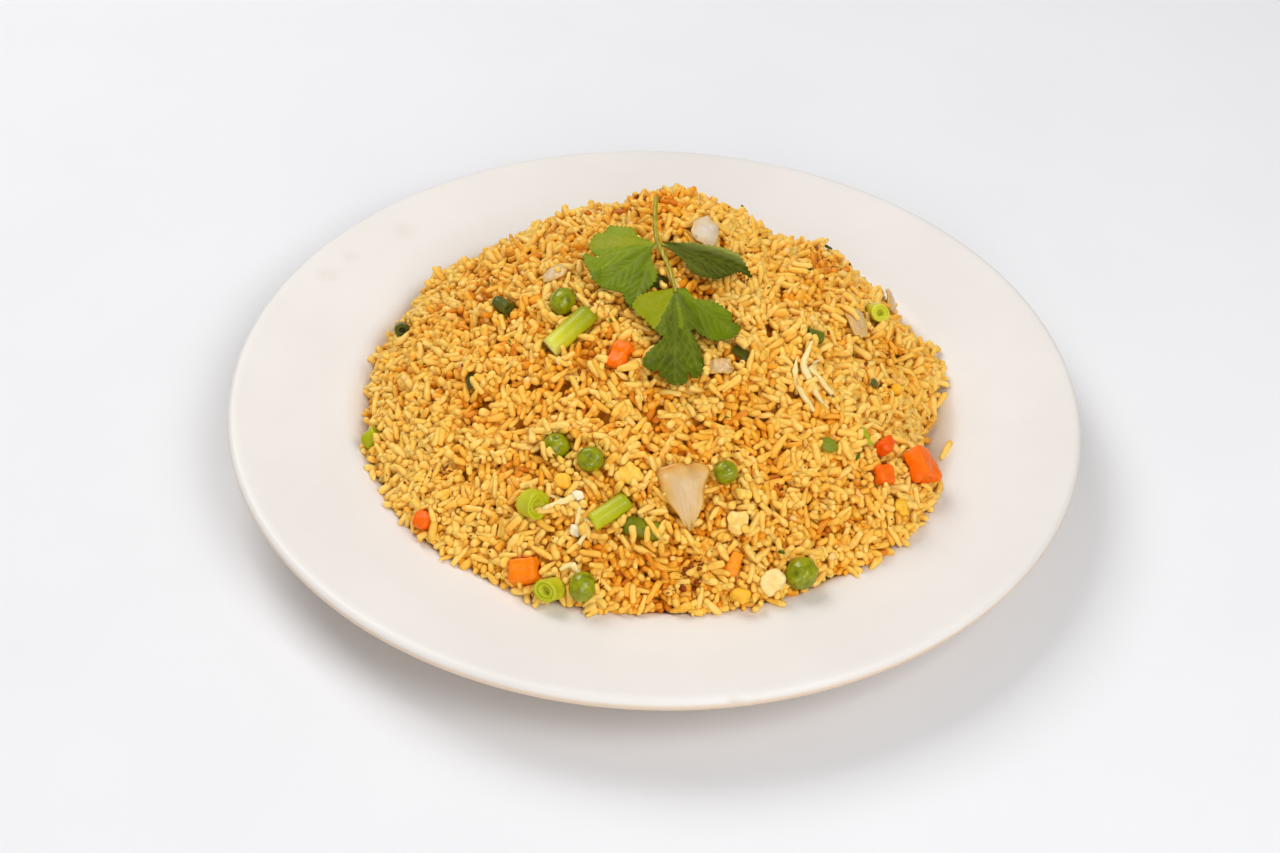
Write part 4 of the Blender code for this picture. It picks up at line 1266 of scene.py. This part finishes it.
# ---- Browned bits, pepper and herb flecks -------------------------------------------------------
# Crumbs that stick to the grains: bits of rice and egg browned in the pan, cracked black pepper and
# flecks of chopped leaf. Each has its own shape, turn and size.

STREWN = 95  # how far out crumbs are strewn
deselect()
bpy.ops.mesh.primitive_ico_sphere_add(subdivisions=1, radius=1)
crumb = bpy.context.object
crumb_form = vertices_of(crumb)
crumb_faces = faces_of(crumb)
bpy.data.objects.remove(crumb)


def add_crumbs(name, places, finish):
    """Joins crumbs into one piece: each place is x, y, size along, across and through."""
    corners, faces, marks = [], [], []
    for x, y, *sizes in places:
        if met_from_above(under_leaf, x, y):
            continue
        first = len(crumb_form) * len(corners)
        turned = np.linalg.qr(chance.normal(0, 1, (3, 3)))[0]
        form = crumb_form * (1 + chance.uniform(-0.35, 0.25, (len(crumb_form), 1)))
        body = form * np.array(sizes) / 2 @ turned
        corners.append(body + np.array(on_top(x, y, min(sizes) * 0.2 - max(sizes) * 0.12)))
        faces += [[first + i for i in face] for face in crumb_faces]
        marks += [(tone, 0) for tone in [chance.uniform()] * 3 * len(crumb_faces)]
    return settle(meshed(name, np.concatenate(corners), faces, marks), name, finish, ())


def crumb_finish(name, dark, light, roughness):
    made, tree, shader = new_finish(name, Roughness=roughness, Specular_IOR_Level=0.2)
    tone = add(tree, "ValToRGB", {"Fac": mark_of(tree).outputs["X"]}, [(0, dark), (1, light)])
    here = add(tree, "TexCoord").outputs["Object"]
    burnt = add(tree, "TexNoise", {"Vector": here, "Scale": per(0.8), "Detail": 3})
    mixed = add(tree, "Mix", {"Factor": burnt.outputs["Fac"], "A": tone.outputs["Color"],
                              "B": hex_colour(dark)}, data_type="RGBA")
    tree.links.new(mixed.outputs["Result"], shader.inputs["Base Color"])
    bump = add(tree, "Bump", {"Height": burnt.outputs["Fac"], "Strength": 0.5, "Distance": 0.2 * MM})
    tree.links.new(bump.outputs["Normal"], shader.inputs["Normal"])
    return made


def strewn(count, low, high, flat=0.6):
    """Places spread over the heap where rice shows, sizes between low and high."""
    spread = []
    while len(spread) < count:
        x, y = chance.uniform(-STREWN, STREWN, 2)
        if at(np.where(on_heap & ~covered, 1.0, 0.0), np.array([[x, y]]))[0] > 0.9:
            size = chance.uniform(low, high)
            spread.append((x, y, size, size * chance.uniform(0.5, 0.9), size * flat))
    return spread


# Where browned bits lie together: x, y, spread, how many, their size.
BROWNED = (
    (12.3, -91.8, 4, 14, 3), (61.7, 42.7, 3, 6, 2.6), (57, 45, 3, 5, 2.2), (-15.5, -96.8, 1.6, 4, 2.2),
    (12.4, -40.8, 1.5, 4, 2.4), (18, -38, 2, 3, 2), (52, -64, 4, 8, 2.4), (-64.7, -53.8, 3, 5, 2),
    (-53.6, -56.2, 3, 5, 2), (-8, 36, 5, 8, 2), (-50, 20, 8, 8, 2), (5, -93, 5, 6, 1.8),
)
bits = strewn(90, 0.8, 2.2)
for x, y, spread, count, size in BROWNED:
    for _ in range(count):
        at_x, at_y = chance.normal(0, spread / 2, 2)
        big = size * chance.uniform(0.5, 1.1)
        bits.append((x + at_x, y + at_y, big, big * chance.uniform(0.4, 0.8), big * 0.4))
crust = crumb_finish("pan_browned_crust", "7A2E06", "C8691A", 0.4)
add_crumbs("browned_crumbs", bits, crust)
crumbled = crumb_finish("scrambled_egg_crumbs", "F2B23A", "FFE6A8", 0.4)
add_crumbs("egg_crumbs", strewn(120, 1.8, 3.8, 0.7), crumbled)
pepper = crumb_finish("cracked_black_pepper", "1E1209", "4A3420", 0.6)
add_crumbs("cracked_pepper", strewn(170, 0.35, 0.85, 0.8), pepper)
flecks = strewn(26, 1.2, 2.6, 0.25) + [(-13.7, -19.1, 3.6, 2.2, 0.7), (62.8, -50.9, 3.4, 2.2, 0.7)]
chopped = crumb_finish("chopped_leaf_flecks", "3A5206", "7F9A1C", 0.4)
add_crumbs("herb_flecks", flecks, chopped)


# ---- The floor, light and camera --------------------------------------------------------------
# A pale seamless studio floor. Three large soft boxes, behind on the left, in front on the right and
# low in front, make soft shadows under the rim, and a faint even fill lightens them.

FLOOR_SIZE = 12
deselect()
bpy.ops.mesh.primitive_plane_add(size=FLOOR_SIZE)
floor = bpy.context.object
floor.name = "studio_floor"
paper, tree, shader = new_finish("matt_paper_backdrop", Roughness=0.9)
here = add(tree, "TexCoord").outputs["Object"]
fibre = add(tree, "TexNoise", {"Vector": here, "Scale": per(60)})
ramp = add(tree, "ValToRGB", {"Fac": fibre.outputs["Fac"]}, [(0.3, "E7E7E9"), (0.7, "E9E9EB")])
tree.links.new(ramp.outputs["Color"], shader.inputs["Base Color"])
floor.data.materials.append(paper)

world = bpy.data.worlds.new("studio_fill")
bpy.context.scene.world = world
world.use_nodes = True
world.node_tree.nodes["Background"].inputs["Color"].default_value = hex_colour("FDFDFE")
world.node_tree.nodes["Background"].inputs["Strength"].default_value = 0.25

SOFT_BOX = 0.9
SOFT_BOX_AWAY = 1.6
# Name, bearing from the camera's side, elevation, watts.
SOFT_BOXES = (
    ("soft_box_back_left", 225, 50, 14.7), ("soft_box_front_right", 45, 50, 12),
    ("soft_box_front", 0, 25, 8.3),
)
for name, bearing, elevation, watts in SOFT_BOXES:
    heading, lean = math.radians(bearing), math.radians(elevation)
    level = math.cos(lean)
    away = Vector((math.sin(heading) * level, -math.cos(heading) * level, math.sin(lean)))
    deselect()
    bpy.ops.object.light_add(type="AREA", location=away * SOFT_BOX_AWAY)
    box = bpy.context.object
    box.name = name
    box.data.shape = "SQUARE"
    box.data.size = SOFT_BOX
    box.data.energy = watts
    box.rotation_euler = away.to_track_quat("Z", "Y").to_euler()

AIM = Vector((-4.585, -21.448, 24)) * MM
ELEVATION = math.radians(40.934)
DISTANCE = 689.6 * MM
ROLL = math.radians(1.813)
back = Vector((0, -math.cos(ELEVATION), math.sin(ELEVATION)))
deselect()
bpy.ops.object.camera_add(location=AIM + back * DISTANCE)
camera = bpy.context.object
camera.rotation_mode = "QUATERNION"
upright = (-back).to_track_quat("-Z", "Y")
camera.rotation_quaternion = Matrix.Rotation(ROLL, 3, back).to_quaternion() @ upright
camera.data.lens = 60
camera.data.sensor_width = 36
bpy.context.scene.camera = camera
bpy.context.scene.view_settings.view_transform = "Standard"
